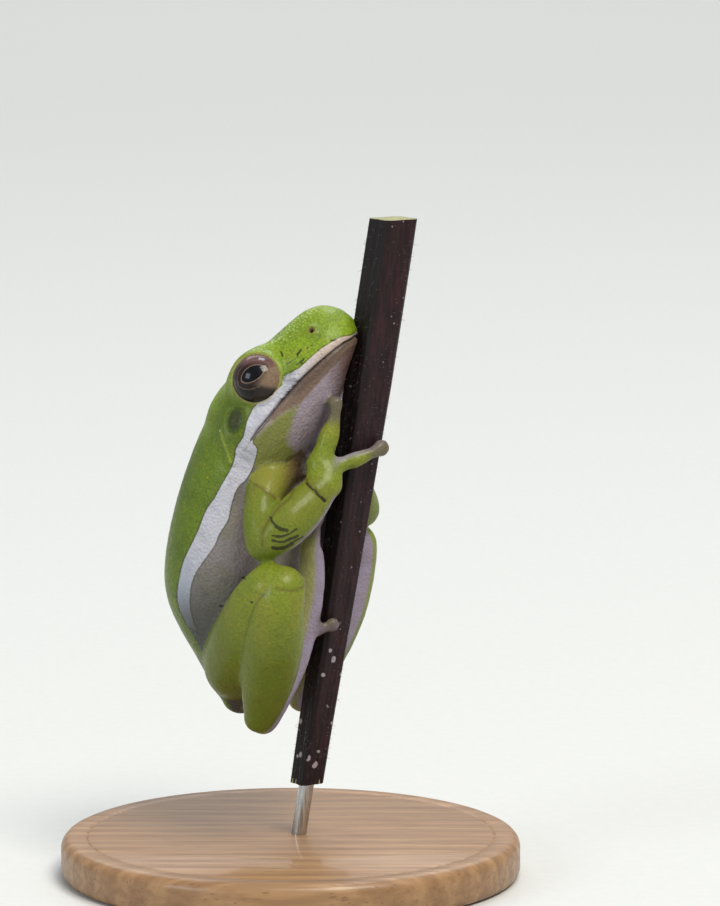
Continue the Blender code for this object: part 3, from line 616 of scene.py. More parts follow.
def stem_axis(height):
    """The middle of the stem at a height."""
    return STEM_FOOT.lerp(STEM_TOP, (height - STEM_FOOT.z) / (STEM_TOP.z - STEM_FOOT.z))


def stem_radius(height):
    share = (height - STEM_FOOT.z) / (STEM_WIDE_FROM - STEM_FOOT.z)
    return STEM_FOOT_RADIUS + (STEM_TOP_RADIUS - STEM_FOOT_RADIUS) * np.clip(share, 0.0, 1.0)


def stem_reach(height, turn):
    """How far the stem's surface is from its axis."""
    flat = 1 - STEM_FLAT * (1 - np.cos(4 * (turn - STEM_TURN))) / 2
    return stem_radius(height) * flat


def rounded_off(rings, middle, way, steps):
    """The rings with smaller ones after them, by reach along the way and by size."""
    last = rings[-1]
    for reach, size in steps:
        rings = rings + [[middle + (point - middle) * size + way * reach for point in last]]
    return rings


def trunk_form():
    """The trunk through its stations, rounded off at the rump."""
    rings = []
    for values in through(TRUNK, 6):
        back = on_midplane(*values[:2])
        belly = on_midplane(*values[2:4])
        top = (back - belly).normalized()
        half = (back - belly).length / 2
        middle = (back + belly) / 2
        rings.append(section(middle, LEFT, top, values[4], half, half, *TRUNK_SHAPE))
    before = (on_midplane(*TRUNK[-2][:2]) + on_midplane(*TRUNK[-2][2:4])) / 2
    way = (middle - before).normalized()
    return lofted(rounded_off(rings, middle, way, RUMP_ROUNDING), "trunk")


def head_form():
    """The head through its stations, rounded off at the snout."""
    rings = []
    for ahead, top, bottom, half in through(HEAD, 6):
        centre = head_place(ahead, HEAD_LEVEL, 0.0)
        rise = top - HEAD_LEVEL
        drop = HEAD_LEVEL - bottom
        rings.append(section(centre, LEFT, CROWN, half, rise, drop, *HEAD_SHAPE))
    ahead, top, bottom, half = HEAD[-1]
    middle = head_place(ahead, (top + bottom) / 2, 0.0)
    return lofted(rounded_off(rings, middle, FORWARD, SNOUT_ROUNDING), "head")


def eye_axis(side):
    """The way that an eye looks; side is 1 for the left and -1 for the right."""
    flat = FORWARD * math.sin(EYE_AHEAD) + LEFT * (side * math.cos(EYE_AHEAD))
    return (flat * math.cos(EYE_UP) + CROWN * math.sin(EYE_UP)).normalized()


def eye_centre(side):
    return head_place(EYE_PLACE[0], EYE_PLACE[1], EYE_PLACE[2] * side)


def brow(side):
    """The swelling of the skull over an eye."""
    ahead, above, beside = BROW_PLACE
    axes = Matrix((FORWARD * BROW_HALF[0], CROWN * BROW_HALF[1], LEFT * BROW_HALF[2])).transposed()
    return ball(head_place(ahead, above, beside * side), 1.0, "brow", 24, axes)


def orbit(side):
    """The flesh round an eyeball."""
    return ball(eye_centre(side), EYE_RADIUS + ORBIT_FLESH, "orbit")


def as_placed(x, y, z):
    """A place given as it is."""
    return Vector((x, y, z))


def left_place(across, up, depth):
    """The left side's place, from one that is seen on the right side."""
    return mirrored(seen(across, up, depth))


def left_leg_place(across, up, depth):
    """The same, moved with the left knee: in full at its height and not at the heel's."""
    spot = seen(across, up, depth)
    share = min(max((spot.z - HEEL_HEIGHT) / (KNEE_HEIGHT - HEEL_HEIGHT), 0.0), 1.0)
    return mirrored(spot) + LEFT_KNEE_SHIFT * share


def digit(line, place):
    """A finger or toe with swollen joints and a flattened round pad."""
    values = through(line, 6)
    places = [place(*value[:3]) for value in values]
    radii = []
    for k, value in enumerate(values):
        share = k / (len(values) - 1)
        swell = 1 + JOINT_SWELL * math.cos(share * 4 * math.pi) - TIP_TAPER * share
        radii.append((value[3] * swell, value[3] * swell))
    tip = places[-1]
    way = (places[-1] - places[-3]).normalized()
    across = way.cross(AWAY + UP * 0.2).normalized()
    wide = line[-1][3] * PAD_WIDTH
    thick = wide * PAD_THICKNESS
    axes = Matrix((across * wide, way * wide, across.cross(way) * thick)).transposed()
    return [limb(places, radii, 16, "digit", AWAY + UP * 0.2), ball(tip, 1.0, "pad", 12, axes)]


def digits(lines, place):
    made = []
    for line in lines:
        made += digit(line, place)
    return made


def body_forms():
    """The closed forms that make up the body, by the name of what they are."""
    forms = {"trunk": [trunk_form()], "head": [head_form()]}
    for side in (-1, 1):
        forms["head"] += [brow(side), orbit(side)]
    for part in ("upper_arm", "forearm", "thigh", "shank"):
        forms["right_" + part] = [limb_through(RIGHT_LIMBS[part], part, AWAY)]
    palm = limb_through(RIGHT_LIMBS["palm"], "palm", AWAY)
    forms["right_hand"] = [palm] + digits(RIGHT_FINGERS, seen)
    sole = limb_through(RIGHT_LIMBS["sole"], "sole", AWAY)
    forms["right_foot"] = [sole] + digits(RIGHT_TOES, seen)
    for part, facing in (("upper_arm", UP), ("forearm", ACROSS)):
        forms["left_" + part] = [limb_through(LEFT_ARM[part], part, facing, as_placed)]
    palm = limb_through(LEFT_ARM["palm"], "palm", AWAY, as_placed)
    forms["left_hand"] = [palm] + digits(LEFT_FINGERS, as_placed)
    for part in ("thigh", "shank"):
        forms["left_" + part] = [limb_through(RIGHT_LIMBS[part], part, AWAY, left_leg_place)]
    sole = limb_through(RIGHT_LIMBS["sole"], "sole", AWAY, left_place)
    left_toes = (RIGHT_TOES[0][:3],) + RIGHT_TOES[1:]
    forms["left_foot"] = [sole] + digits(left_toes, left_place)
    return forms


def tree_of(meshes):
    """The meshes as a tree in which the nearest place is looked up."""
    bm = gathered(*meshes)
    tree = BVHTree.FromBMesh(bm)
    bm.free()
    return tree


def fused(meshes, voxel, name):
    """One closed surface round all the meshes."""
    thing = object_of(stored(gathered(*meshes), bpy.data.meshes.new(name)), name)
    modifier = thing.modifiers.new("fuse", "REMESH")
    modifier.mode = "VOXEL"
    modifier.voxel_size = voxel
    return applied(thing)


def places_of(mesh):
    flat = np.empty(len(mesh.vertices) * 3, np.float32)
    mesh.vertices.foreach_get("co", flat)
    return flat.reshape(-1, 3).astype(float)


def normals_of(mesh):
    flat = np.empty(len(mesh.vertices) * 3, np.float32)
    mesh.vertex_normals.foreach_get("vector", flat)
    return flat.reshape(-1, 3).astype(float)


def set_places(mesh, places):
    mesh.vertices.foreach_set("co", places.astype(np.float32).ravel())
    mesh.update()


def rises(value, low, high):
    """0 below low, 1 above high and smooth between."""
    t = np.clip((value - low) / (high - low), 0.0, 1.0)
    return t * t * (3 - 2 * t)


def bump(distance, width):
    """1 at no distance, falling off over the width."""
    return np.exp(-((distance / width) ** 2))


def to_right(places):
    """Places with the left half mirrored to the right half, and how far to the left each was."""
    left = np.array(LEFT)
    beside = (places - np.array((BODY_PIVOT, 0.0, 0.0))) @ left
    return places - np.outer(2 * np.maximum(beside, 0.0), left), beside


def picture(places):
    """Where places are seen in the photograph, in its pixels."""
    eye = np.array(CAMERA_AIM - SIGHT * CAMERA_AWAY)
    rays = places - eye
    scale = PIXELS_PER_MM * CAMERA_AWAY / (rays @ np.array(SIGHT))
    u = PHOTO_WIDTH / 2 + (rays @ np.array(ACROSS)) * scale
    v = PHOTO_HEIGHT / 2 - (rays @ np.array(SEEN_UP)) * scale
    return np.stack([u, v], 1)


def line_distance(spots, line):
    """The distance of each spot from a line of points, in millimetres when both are in pixels."""
    best = np.full(len(spots), np.inf)
    line = np.array(line, float)
    for start, end in zip(line[:-1], line[1:]):
        run = end - start
        share = np.clip(((spots - start) @ run) / (run @ run), 0.0, 1.0)
        best = np.minimum(best, np.linalg.norm(spots - start - np.outer(share, run), axis=1))
    return best / PIXELS_PER_MM


def inside(spots, outline):
    """Whether each spot lies inside the closed outline."""
    found = np.zeros(len(spots), bool)
    outline = np.array(outline, float)
    for start, end in zip(outline, np.roll(outline, -1, axis=0)):
        if start[1] == end[1]:
            continue
        crosses = (start[1] > spots[:, 1]) != (end[1] > spots[:, 1])
        at = start[0] + (spots[:, 1] - start[1]) * (end[0] - start[0]) / (end[1] - start[1])
        found ^= crosses & (spots[:, 0] < at)
    return found


def depth_inside(spots, outline):
    """Millimetres inside the closed outline, and less than 0 outside it."""
    reach = line_distance(spots, tuple(outline) + (outline[0],))
    return np.where(inside(spots, outline), reach, -reach)


def on_head(tree, ahead, above, side):
    """The skin's place and its outward way, beside the head's midline."""
    place, normal, _, _ = tree.ray_cast(head_place(ahead, above, 30.0 * side), LEFT * -side)
    return place, normal


def mouth_places(tree):
    """Places along the line of the mouth, from one corner round to the other."""
    places = []
    for ahead, level in through(MOUTH_LINE, 30):
        places.append(on_head(tree, ahead, level, -1)[0])
    front = tree.ray_cast(head_place(12.0, 0.0, 0.0), -FORWARD)[0]
    last = places[-1]
    places += [tree.find_nearest(last.lerp(front, k / 40))[0] for k in range(1, 41)]
    for _ in range(12):
        middles = [(a + b * 2 + c) / 4 for a, b, c in zip(places, places[1:], places[2:])]
        places = places[:1] + middles + places[-1:]
    places = [tree.find_nearest(place)[0] for place in places]
    return places + [mirrored(place) for place in reversed(places[:-1])]


def refined(mesh, wanted):
    """Splits the faces whose corners are all wanted into four."""
    bm = gathered(mesh)
    edges = [edge for edge in bm.edges if all(wanted[vert.index] for vert in edge.verts)]
    bmesh.ops.subdivide_edges(bm, edges=edges, cuts=1, use_grid_fill=True)
    stored(bm, mesh)


def relaxed(mesh, rounds, factor=0.5, wanted=None):
    """Softens the grid's steps and the creases between the forms, everywhere or where wanted."""
    bm = gathered(mesh)
    verts = [vert for vert in bm.verts if wanted is None or wanted[vert.index]]
    for _ in range(rounds):
        bmesh.ops.smooth_vert(
            bm, verts=verts, factor=factor, use_axis_x=True, use_axis_y=True, use_axis_z=True
        )
    stored(bm, mesh)


def edge_ends(mesh):
    """The two ends of every edge of a mesh."""
    pairs = np.empty(len(mesh.edges) * 2, np.int32)
    mesh.edges.foreach_get("vertices", pairs)
    return pairs[0::2], pairs[1::2]


def mean_around(values, ends):
    """The mean of a value over the neighbours of each place."""
    first, second = ends
    number = len(values)
    total = np.bincount(first, values[second], number) + np.bincount(second, values[first], number)
    return total / (np.bincount(first, minlength=number) + np.bincount(second, minlength=number))


def spread(values, ends, rounds):
    """A value with its edges softened over the places around."""
    for _ in range(rounds):
        values = (values + mean_around(values, ends)) / 2
    return values


def filled(mesh, share, rounds):
    """Fills the hollows between forms, by a share at each place, and leaves what stands out."""
    ends = edge_ends(mesh)
    places = places_of(mesh)
    for k in range(rounds):
        if k % 6 == 0:
            set_places(mesh, places)
            normals = normals_of(mesh)
        pull = np.stack([mean_around(places[:, axis], ends) for axis in range(3)], axis=1) - places
        out = np.maximum((pull * normals).sum(axis=1), 0.0)
        places = places + normals * (out * share)[:, None]
    set_places(mesh, places)


def round_stem(places):
    """For each place the stem's axis beside it, the way out to it, its turn and its reach."""
    share = (places[:, 2] - STEM_FOOT.z) / (STEM_TOP.z - STEM_FOOT.z)
    axis = np.array(STEM_FOOT) + np.outer(share, np.array(STEM_TOP - STEM_FOOT))
    out = places - axis
    return axis, out, np.arctan2(out[:, 1], out[:, 0]), np.hypot(out[:, 0], out[:, 1])


def clear_of_stem(places):
    """Places inside the stem are moved out to its surface, so that what grips it lies flat on it."""
    axis, out, turn, reach = round_stem(places)
    needed = stem_reach(places[:, 2], turn) + STEM_CLEARANCE
    within = (reach < needed) & (places[:, 2] < STEM_TOP.z)
    return axis + out * np.where(within, needed / np.maximum(reach, 0.05), 1.0)[:, None]


def lid_reach(places, side):
    """Millimetres from the lid's edge, the distance from the eye's centre and the way from it."""
    rays = places - np.array(eye_centre(side))
    reach = np.linalg.norm(rays, axis=1)
    turn = np.arccos(np.clip((rays @ np.array(eye_axis(side))) / reach, -1, 1))
    upward = (rays @ np.array(CROWN)) / np.maximum(reach, 1e-6)
    edge = math.asin(EYE_OPENING / EYE_RADIUS) + 0.03 * upward
    return (turn - edge) * EYE_RADIUS, reach, rays


def with_lids(places, widest):
    """Opens the lids round each eye and lays the skin back over the eyeball, as wide as is given."""
    for side in (-1, 1):
        over, reach, rays = lid_reach(places, side)
        close = (reach < EYE_RADIUS + 2.2) & (over < 3.0)
        lid = EYE_RADIUS + 0.05 + LID_RISE * np.sqrt(np.clip(over / LID_RISE, 0.0, 1.0))
        target = np.where(over < 0.0, EYE_RADIUS - 0.4, lid)
        blend = rises(over, LID_RISE, widest)
        beyond = np.minimum(reach * blend + np.minimum(reach, lid) * (1 - blend), reach)
        new = np.where(close, np.where(over < LID_RISE, target, beyond), reach)
        places = np.array(eye_centre(side)) + rays * (new / np.maximum(reach, 1e-6))[:, None]
    return places


def round_the_eyes(places):
    """Where the skin lies round an eye, outside the rim of the lids."""
    found = np.zeros(len(places), bool)
    for side in (-1, 1):
        over, reach, _ = lid_reach(places, side)
        found |= (over > LID_RISE) & (over < 3.4) & (reach < EYE_RADIUS + 2.8)
    return found


def reaches(places, trees):
    """How far each place is from each form, or FAR where that is over 2."""
    spots = [Vector(place) for place in places]
    found = {}
    for name, tree in trees.items():
        row = np.full(len(places), FAR)
        for k, spot in enumerate(spots):
            near = tree.find_nearest(spot, 2.0)
            if near[0] is not None:
                row[k] = near[3]
        found[name] = row
    return found


def mouth_reach(places, line, head):
    """The distance from the line of the mouth, less than 0 below it."""
    tree = KDTree(len(line))
    upward = []
    for k, place in enumerate(line):
        tree.insert(place, k)
        way = line[min(k + 3, len(line) - 1)] - line[max(k - 3, 0)]
        up = head.find_nearest(place)[1].cross(way).normalized()
        upward.append(up if up.dot(CROWN) > 0 else -up)
    tree.balance()
    found = np.empty(len(places))
    for k, place in enumerate(places):
        spot = Vector(place)
        near, which, reach = tree.find(spot)
        found[k] = math.copysign(min(reach, FAR), (spot - near).dot(upward[which]))
    return found


def to_nostril(places, middles):
    """The distance from the nearer nostril, drawn out along its slit."""
    slit = np.array((CROWN * 0.66 + FORWARD * 0.75).normalized())
    best = np.full(len(places), FAR)
    for middle in middles:
        rays = places - np.array(middle)
        along = rays @ slit
        off = rays - np.outer(along, slit)
        best = np.minimum(best, np.hypot(np.linalg.norm(off, axis=1), along * 0.55))
    return best


def oval_depth(spots, middle, half, tilt):
    """1 at the middle of a tilted oval, 0 at its rim and less outside."""
    off = spots - np.array(middle)
    c, s = math.cos(tilt), math.sin(tilt)
    x = (off[:, 0] * c + off[:, 1] * s) / half[0]
    y = (-off[:, 0] * s + off[:, 1] * c) / half[1]
    return 1 - np.hypot(x, y)


def skin_waves(places, size):
    """A soft unevenness of the skin, from -1 to 1."""
    return np.array([noise.noise(Vector(place) / size) for place in places])


class Skin:
    """What is known of each place on the skin."""

    def __init__(self, mesh, trees):
        self.places = places_of(mesh)
        self.normals = normals_of(mesh)
        self.folded, self.beside = to_right(self.places)
        self.spots = picture(self.folded)
        reach = reaches(self.places, trees)
        names = np.array(list(reach))
        table = np.stack([reach[name] for name in names])
        order = np.argsort(table, axis=0)
        every = np.arange(len(self.places))
        self.part = names[order[0]]
        self.apart = table[order[1], every] - table[order[0], every]
        self.head = self.part == "head"
        self.body = self.head | (self.part == "trunk")
        limbs = [reach[name] for name in names if name not in ("trunk", "head")]
        self.to_limb = np.min(limbs, axis=0)
        flip = np.where(self.beside > 0, 2.0, 0.0)
        left = np.array(LEFT)
        self.turned = self.normals - np.outer(flip * (self.normals @ left), left)
        self.facing = -(self.turned @ np.array(SIGHT))

    def see_face(self, mouth, nostrils, head):
        """Adds how near each place is to the mouth, nostrils, eardrum and lids."""
        near_mouth = mouth_reach(self.places, mouth, head)
        far_above = (np.abs(near_mouth) > 4.0) & (self.normals @ np.array(CROWN) > 0.3)
        near_mouth = np.where(far_above, np.abs(near_mouth), near_mouth)
        self.mouth = np.where(self.head, near_mouth, np.copysign(FAR, near_mouth))
        self.on_lip = self.head & (np.abs(self.mouth) < 4.0)
        self.nostril = to_nostril(self.places, nostrils)
        self.drum = oval_depth(self.spots, EARDRUM_AT, EARDRUM_HALF, EARDRUM_TILT)
        self.lid = np.full(len(self.places), FAR)
        for side in (-1, 1):
            over, reach, _ = lid_reach(self.places, side)
            self.lid = np.where(reach < EYE_RADIUS + 2.0, np.minimum(self.lid, over), self.lid)

    def off(self, line):
        """Millimetres from the smooth curve through a line, as seen."""
        return line_distance(self.spots, through(line, 5))

    def of(self, *names):
        """Where the place is on one of these forms of either side."""
        found = np.zeros(len(self.part), bool)
        for name in names:
            found |= np.char.endswith(self.part, name)
        return found


def run_together(skin):
    """Where forms run into each other without a fold between them, from 0 to 1."""
    share = rises(skin.to_limb, 0.7, 1.6) * skin.body
    for joint, width in ((SHOULDER, 3.4), (HIP, 3.6)):
        away = np.linalg.norm(skin.folded - np.array(seen(*joint)), axis=1)
        share = np.maximum(share, 0.9 * bump(away, width))
    top = rises(KNEE_TOP - skin.spots[:, 1], -4.0, 8.0) * skin.of("thigh", "shank")
    return np.maximum(share, 0.9 * top)


def head_tree(mesh, skin):
    """The head's part of the skin, to look up places on it."""
    faces = [face.vertices[:] for face in mesh.polygons if all(skin.head[k] for k in face.vertices)]
    return BVHTree.FromPolygons([Vector(place) for place in skin.places], faces)


def small_detail(skin):
    """Where the grid has to be finer."""
    fine = (np.abs(skin.mouth) < 1.2) | (skin.nostril < 1.6) | (np.abs(skin.lid) < 1.3)
    fine |= (np.abs(skin.drum) < 0.3) & skin.body & (skin.facing > 0)
    return fine | (all_strokes(skin) > -0.5)


def all_strokes(skin):
    """How far inside a dark stroke each place is, in millimetres."""
    depths = [
        stroke_depth(skin, HEAD_STROKES, skin.head),
        stroke_depth(skin, ARM_STROKES, skin.of("forearm")),
        stroke_depth(skin, WRIST_STROKES, skin.of("forearm", "hand")),
        stroke_depth(skin, LEG_STROKES, skin.of("thigh", "shank", "trunk")),
    ]
    return np.max(depths, axis=0)


def carve(skin):
    """The folds, lips, nostrils and eardrums, as moves along the skin's outward way."""
    move = 0.05 * skin_waves(skin.places, 2.6) + 0.025 * skin_waves(skin.places, 0.9)
    lips = skin.mouth
    ahead = rises(skin.spots[:, 0], 250, 262) * skin.head
    move += ahead * (0.16 * bump(lips - 0.75, 0.45) + 0.14 * bump(lips + 0.8, 0.5))
    move -= ahead * 0.42 * bump(lips, 0.17)
    move += 0.22 * bump(skin.nostril - 0.45, 0.3) - 0.55 * bump(skin.nostril, 0.22)
    shown = rises(skin.facing, 0.0, 0.25)
    near = skin.body * shown
    move += near * (-0.15 * bump(skin.drum, 0.12) + 0.06 * bump(skin.drum - 0.55, 0.35))
    move += 0.2 * near * bump(skin.off(EAR_FOLD), 0.5)
    for line in STRIPE_WRINKLES:
        move -= 0.13 * near * bump(skin.off(line), 0.16)
    move -= 0.3 * near * bump(skin.off(NECK_FOLD), 0.22)
    for line, names, deep, width in LIMB_FOLDS:
        move -= deep * skin.of(*names) * shown * bump(skin.off(line), width)
    return skin.places + skin.normals * move[:, None]


def set_values(mesh, name, values):
    """Keeps a value for each place of the mesh, for its material."""
    layer = mesh.attributes.new(name, "FLOAT", "POINT")
    layer.data.foreach_set("value", np.asarray(values, np.float32))


def stroke_depth(skin, strokes, where):
    """How far inside one of the strokes each place is, in millimetres."""
    best = np.full(len(skin.places), OFF_STROKES)
    for line, half in strokes:
        reach = half / PIXELS_PER_MM - line_distance(skin.spots, through(line, 3))
        best = np.maximum(best, np.where(where & (skin.facing > SHOWN), reach, OFF_STROKES))
    return best


def spot_depth(skin, spots):
    """How far inside one of the round spots each place is, in millimetres."""
    best = np.full(len(skin.places), OFF_STROKES)
    for at, half in spots:
        off = np.hypot(*(skin.spots - np.array(at)).T) + 99.0 * (skin.facing < SHOWN)
        middle = skin.folded[np.argmin(off)]
        reach = half / PIXELS_PER_MM - np.linalg.norm(skin.folded - middle, axis=1)
        best = np.maximum(best, reach)
    return best


def inner_share(skin):
    """The pale inner sides of the limbs, by the way that the skin faces."""
    ways = {
        "forearm": (0.8, 0.3, -0.5), "upper_arm": (0.9, 0.35, -0.1), "thigh": (0.4, 0.9, -0.1),
        "shank": (0.5, 0.85, 0.0), "foot": (0.97, 0.0, 0.0), "hand": (0.5, 0.86, 0.1),
    }
    inner = np.zeros(len(skin.places))
    for name, way in ways.items():
        way = np.array(way) / np.linalg.norm(way)
        low = {"foot": 0.05, "forearm": 0.52}.get(name, 0.3)
        inner = np.where(skin.of(name), rises(skin.turned @ way, low, low + 0.3), inner)
    left_arm = (skin.beside > 0) & skin.of("upper_arm", "forearm")
    inner = np.where(left_arm | (skin.part == "right_upper_arm"), 0.0, inner)
    top = rises(skin.turned @ np.array(UP), 0.35, 0.75) * rises(skin.spots[:, 0], 328, 336)
    return np.where(skin.of("hand"), np.maximum(inner, 0.7 * top), inner)


def tip_share(skin):
    """1 at the pads of the fingers and toes and 0 away from them."""
    tips = np.zeros(len(skin.places))
    for name, lines, place in (
        ("right_hand", RIGHT_FINGERS, seen), ("right_foot", RIGHT_TOES, seen),
        ("left_hand", LEFT_FINGERS, as_placed), ("left_foot", RIGHT_TOES, left_place),
    ):
        for line in lines:
            tip = np.array(place(*line[-1][:3]))
            share = 1 - rises(np.linalg.norm(skin.places - tip, axis=1), 1.0, 4.0)
            tips = np.maximum(tips, np.where(skin.part == name, share, 0.0))
    return tips


def stripe_depth(skin, away):
    """How far inside the pale stripe, along the flank and, by its width, above the mouth."""
    outline = through(STRIPE_TOP, 3) + through(STRIPE_FOOT, 3)[::-1]
    stripe = np.where(away, OUTSIDE, depth_inside(skin.spots, outline))
    across = skin.spots[:, 0]
    width = np.interp(across, *np.array(STRIPE_WIDTH).T)
    band = np.minimum(skin.mouth - 0.04, width - skin.mouth)
    share = rises(across, 262, 282)
    return np.where(skin.on_lip, stripe * (1 - share) + band * share, stripe)


def under_depth(skin, turned_off, ends):
    """How far below the border of the green back: as seen, or by the way that the far side faces."""
    under = depth_inside(skin.spots, through(STRIPE_TOP, 3) + list(BELOW_VENT))
    toward_belly = spread(skin.turned @ np.array(BELLY), ends, 12)
    under = np.clip(under, OUTSIDE, -OUTSIDE) * (1 - turned_off)
    under += np.clip(4 * toward_belly, OUTSIDE, -OUTSIDE) * turned_off
    on_crown = skin.head & (skin.normals @ np.array(CROWN) > 0.3)
    return np.where(on_crown, OUTSIDE, under)


def fold_shade_share(skin, shown):
    """Where shade is painted: 1 in the folds of the limbs, and less in the wrinkles of the stripe."""
    folds = np.zeros(len(skin.spots))
    for line, names, _, width in LIMB_FOLDS:
        folds = np.maximum(folds, bump(skin.off(line), width) * skin.of(*names) * shown)
    for line in STRIPE_WRINKLES:
        folds = np.maximum(folds, 0.45 * bump(skin.off(line), 0.13) * skin.body * shown)
    return folds


def markings(mesh, skin):
    """The frog's markings, and where shade and sheen are painted, as values on its skin: depths in
    millimetres, or shares from 0 to 1.
    """
    across, height = skin.spots.T
    ends = edge_ends(mesh)
    turned_off = spread(rises(-skin.facing, 0.1, 0.45), ends, 12)
    away = turned_off > 0.5
    shown = skin.facing > SHOWN
    stripe = stripe_depth(skin, away)
    under = under_depth(skin, turned_off, ends)
    behind = skin.head & (np.abs(skin.mouth) > 4.0) & (under > 0) & (stripe < 0)
    to_belly = skin.turned @ np.array(BELLY)
    to_crown = skin.normals @ np.array(CROWN)
    lip = np.interp(across, *np.array(LIP_WIDTH).T) + skin.mouth
    chest = skin.of("trunk", "head", "upper_arm") & ~away
    # Where the painted highlight along the ear fold lies
    ridge_highlight = rises(height, 416, 440) * bump(skin.off(EAR_FOLD), 0.2)
    below_knee = rises(height, KNEE_TOP - 6, KNEE_TOP + 10) * skin.of("thigh", "shank")
    values = {
        "stripe": np.where(skin.body, stripe, OUTSIDE),
        "under": np.where(skin.body, under, OUTSIDE),
        "throat": np.where(behind, 1.0, rises(-skin.mouth, 0.0, 0.12) * skin.head),
        "jaw": np.where(away, OUTSIDE, depth_inside(skin.spots, JAW_PATCH)),
        "lip": np.where(skin.on_lip, lip, OUTSIDE),
        "mouth": np.where(skin.head, skin.mouth, FAR),
        "limb": (~skin.body).astype(float),
        "arm": skin.of("upper_arm", "forearm"),
        "ridge_highlight": skin.body * shown * ridge_highlight,
        "inner": inner_share(skin),
        "marks": all_strokes(skin),
        "gold": spot_depth(skin, GOLD_SPOTS),
        "dots": spot_depth(skin, PALE_SPOTS),
        "chest": np.where(chest, depth_inside(skin.spots, CHEST_PATCH), OUTSIDE),
        "fold": fold_shade_share(skin, shown),
        "drum": np.where(skin.body & (skin.facing > 0), skin.drum, OUTSIDE),
        "nostril": skin.nostril,
        "lid": skin.lid,
        # Painted shade where thigh and shank meet, below the knee's top
        "crease_shade": bump(skin.apart, 0.12) * below_knee,
        "pad": tip_share(skin),
        "foot": skin.of("foot"),
        "belly": skin.body * rises(to_belly, 0.45, 0.8),
        # Where painted sheen lies: the upward side of the head
        "crown": skin.head * rises(across, 230, 255) * rises(to_crown, 0.3, 0.85),
        "across": across,
        "height": height,
    }
    for name in ("throat", "limb", "arm", "inner", "foot"):
        values[name] = spread(values[name], ends, 4)
    for name, amounts in values.items():
        set_values(mesh, name, amounts)


def srgb(code):
    """A hex colour as linear values."""
    parts = [int(code[k : k + 2], 16) / 255 for k in (1, 3, 5)]
    return [c / 12.92 if c <= 0.04045 else ((c + 0.055) / 1.055) ** 2.4 for c in parts] + [1.0]


def as_paint(colour):
    """Linear values of a hex colour, or the colour that a node gives."""
    return srgb(colour) if isinstance(colour, str) else colour


def add(tree, kind, out, inputs=(), **settings):
    """Adds one node, sets or links its inputs, and gives back one of its outputs."""
    made = tree.nodes.new(kind)
    for name, value in settings.items():
        setattr(made, name, value)
    for key, value in dict(inputs).items():
        if isinstance(value, bpy.types.NodeSocket):
            tree.links.new(value, made.inputs[key])
        else:
            made.inputs[key].default_value = value
    return made.outputs[out]


def painted(tree, read, base, layers):
    """Lays colours over the base, each as far as the value it reads has risen from low to high."""
    paint = as_paint(base)
    for name, low, high, most, colour in layers:
        limits = {"Value": read[name], "From Min": low, "From Max": high, "To Max": most}
        share = add(tree, "ShaderNodeMapRange", 0, limits, interpolation_type="SMOOTHSTEP")
        mixed = {0: share, 6: paint, 7: as_paint(colour)}
        paint = add(tree, "ShaderNodeMix", 2, mixed, data_type="RGBA")
    return paint


def material(name, settings):
    """A new material, its node tree, its shader and the coordinates of the piece."""
    made = bpy.data.materials.new(name)
    made.use_nodes = True
    tree = made.node_tree
    shader = tree.nodes["Principled BSDF"]
    for key, value in settings.items():
        shader.inputs[key].default_value = value
    return made, tree, shader, add(tree, "ShaderNodeTexCoord", "Object")


def linked(tree, shader, sockets):
    """Links values to the shader's sockets."""
    for name, value in sockets.items():
        tree.links.new(value, shader.inputs[name])


def sized(place, size, **more):
    """The inputs of a pattern whose cells are this many millimetres wide."""
    return {"Vector": place, "Scale": 1000.0 / size, **more}


def scattered(tree, place, apart, radius, rarity):
    """1 on round specks in a few cells of a pattern, and 0 elsewhere."""
    cells = add(tree, "ShaderNodeTexVoronoi", "Distance", sized(place, apart))
    tone = add(tree, "ShaderNodeSeparateColor", 0, {"Color": cells.node.outputs["Color"]})
    rare = add(tree, "ShaderNodeMath", 0, {0: tone, 1: rarity}, operation="GREATER_THAN")
    near = add(tree, "ShaderNodeMath", 0, {0: cells, 1: radius}, operation="LESS_THAN")
    return add(tree, "ShaderNodeMath", 0, {0: near, 1: rare}, operation="MULTIPLY")


def skin_values(tree, place):
    """The skin's markings and patterns, and where shade and sheen are painted, by name. The granules are
    drawn coarser than real ones, which are too fine to show.
    """
    read = {name: add(tree, "ShaderNodeAttribute", "Fac", attribute_name=name) for name in SKIN_VALUES}
    for name, size, detail in SKIN_NOISES:
        read[name] = add(tree, "ShaderNodeTexNoise", "Fac", sized(place, size, Detail=detail))
    granules = add(tree, "ShaderNodeTexVoronoi", "Distance", sized(place, GRANULE_SIZE))
    read["granules"] = granules
    read["specks"] = scattered(tree, place, 2.1, 0.055, 0.82)
    # Painted sheen on the tops of the granules, on the upward side of the head
    raised = add(tree, "ShaderNodeMath", 0, {0: 0.62, 1: granules}, operation="SUBTRACT")
    raised = add(tree, "ShaderNodeMath", 0, {0: raised, 1: read["crown"]}, operation="MULTIPLY")
    read["raised"] = raised
    centred = {0: read["fine"], 1: 0.5, 2: -0.25}
    ragged = add(tree, "ShaderNodeMath", 0, centred, operation="MULTIPLY_ADD")
    for name, much in RAGGED_EDGES:
        sum_of = {0: ragged, 1: much, 2: read[name]}
        read[name] = add(tree, "ShaderNodeMath", 0, sum_of, operation="MULTIPLY_ADD")
    for name in ("stripe", "mouth", "drum"):
        read["off_" + name] = add(tree, "ShaderNodeMath", 0, {0: read[name]}, operation="ABSOLUTE")
    return read


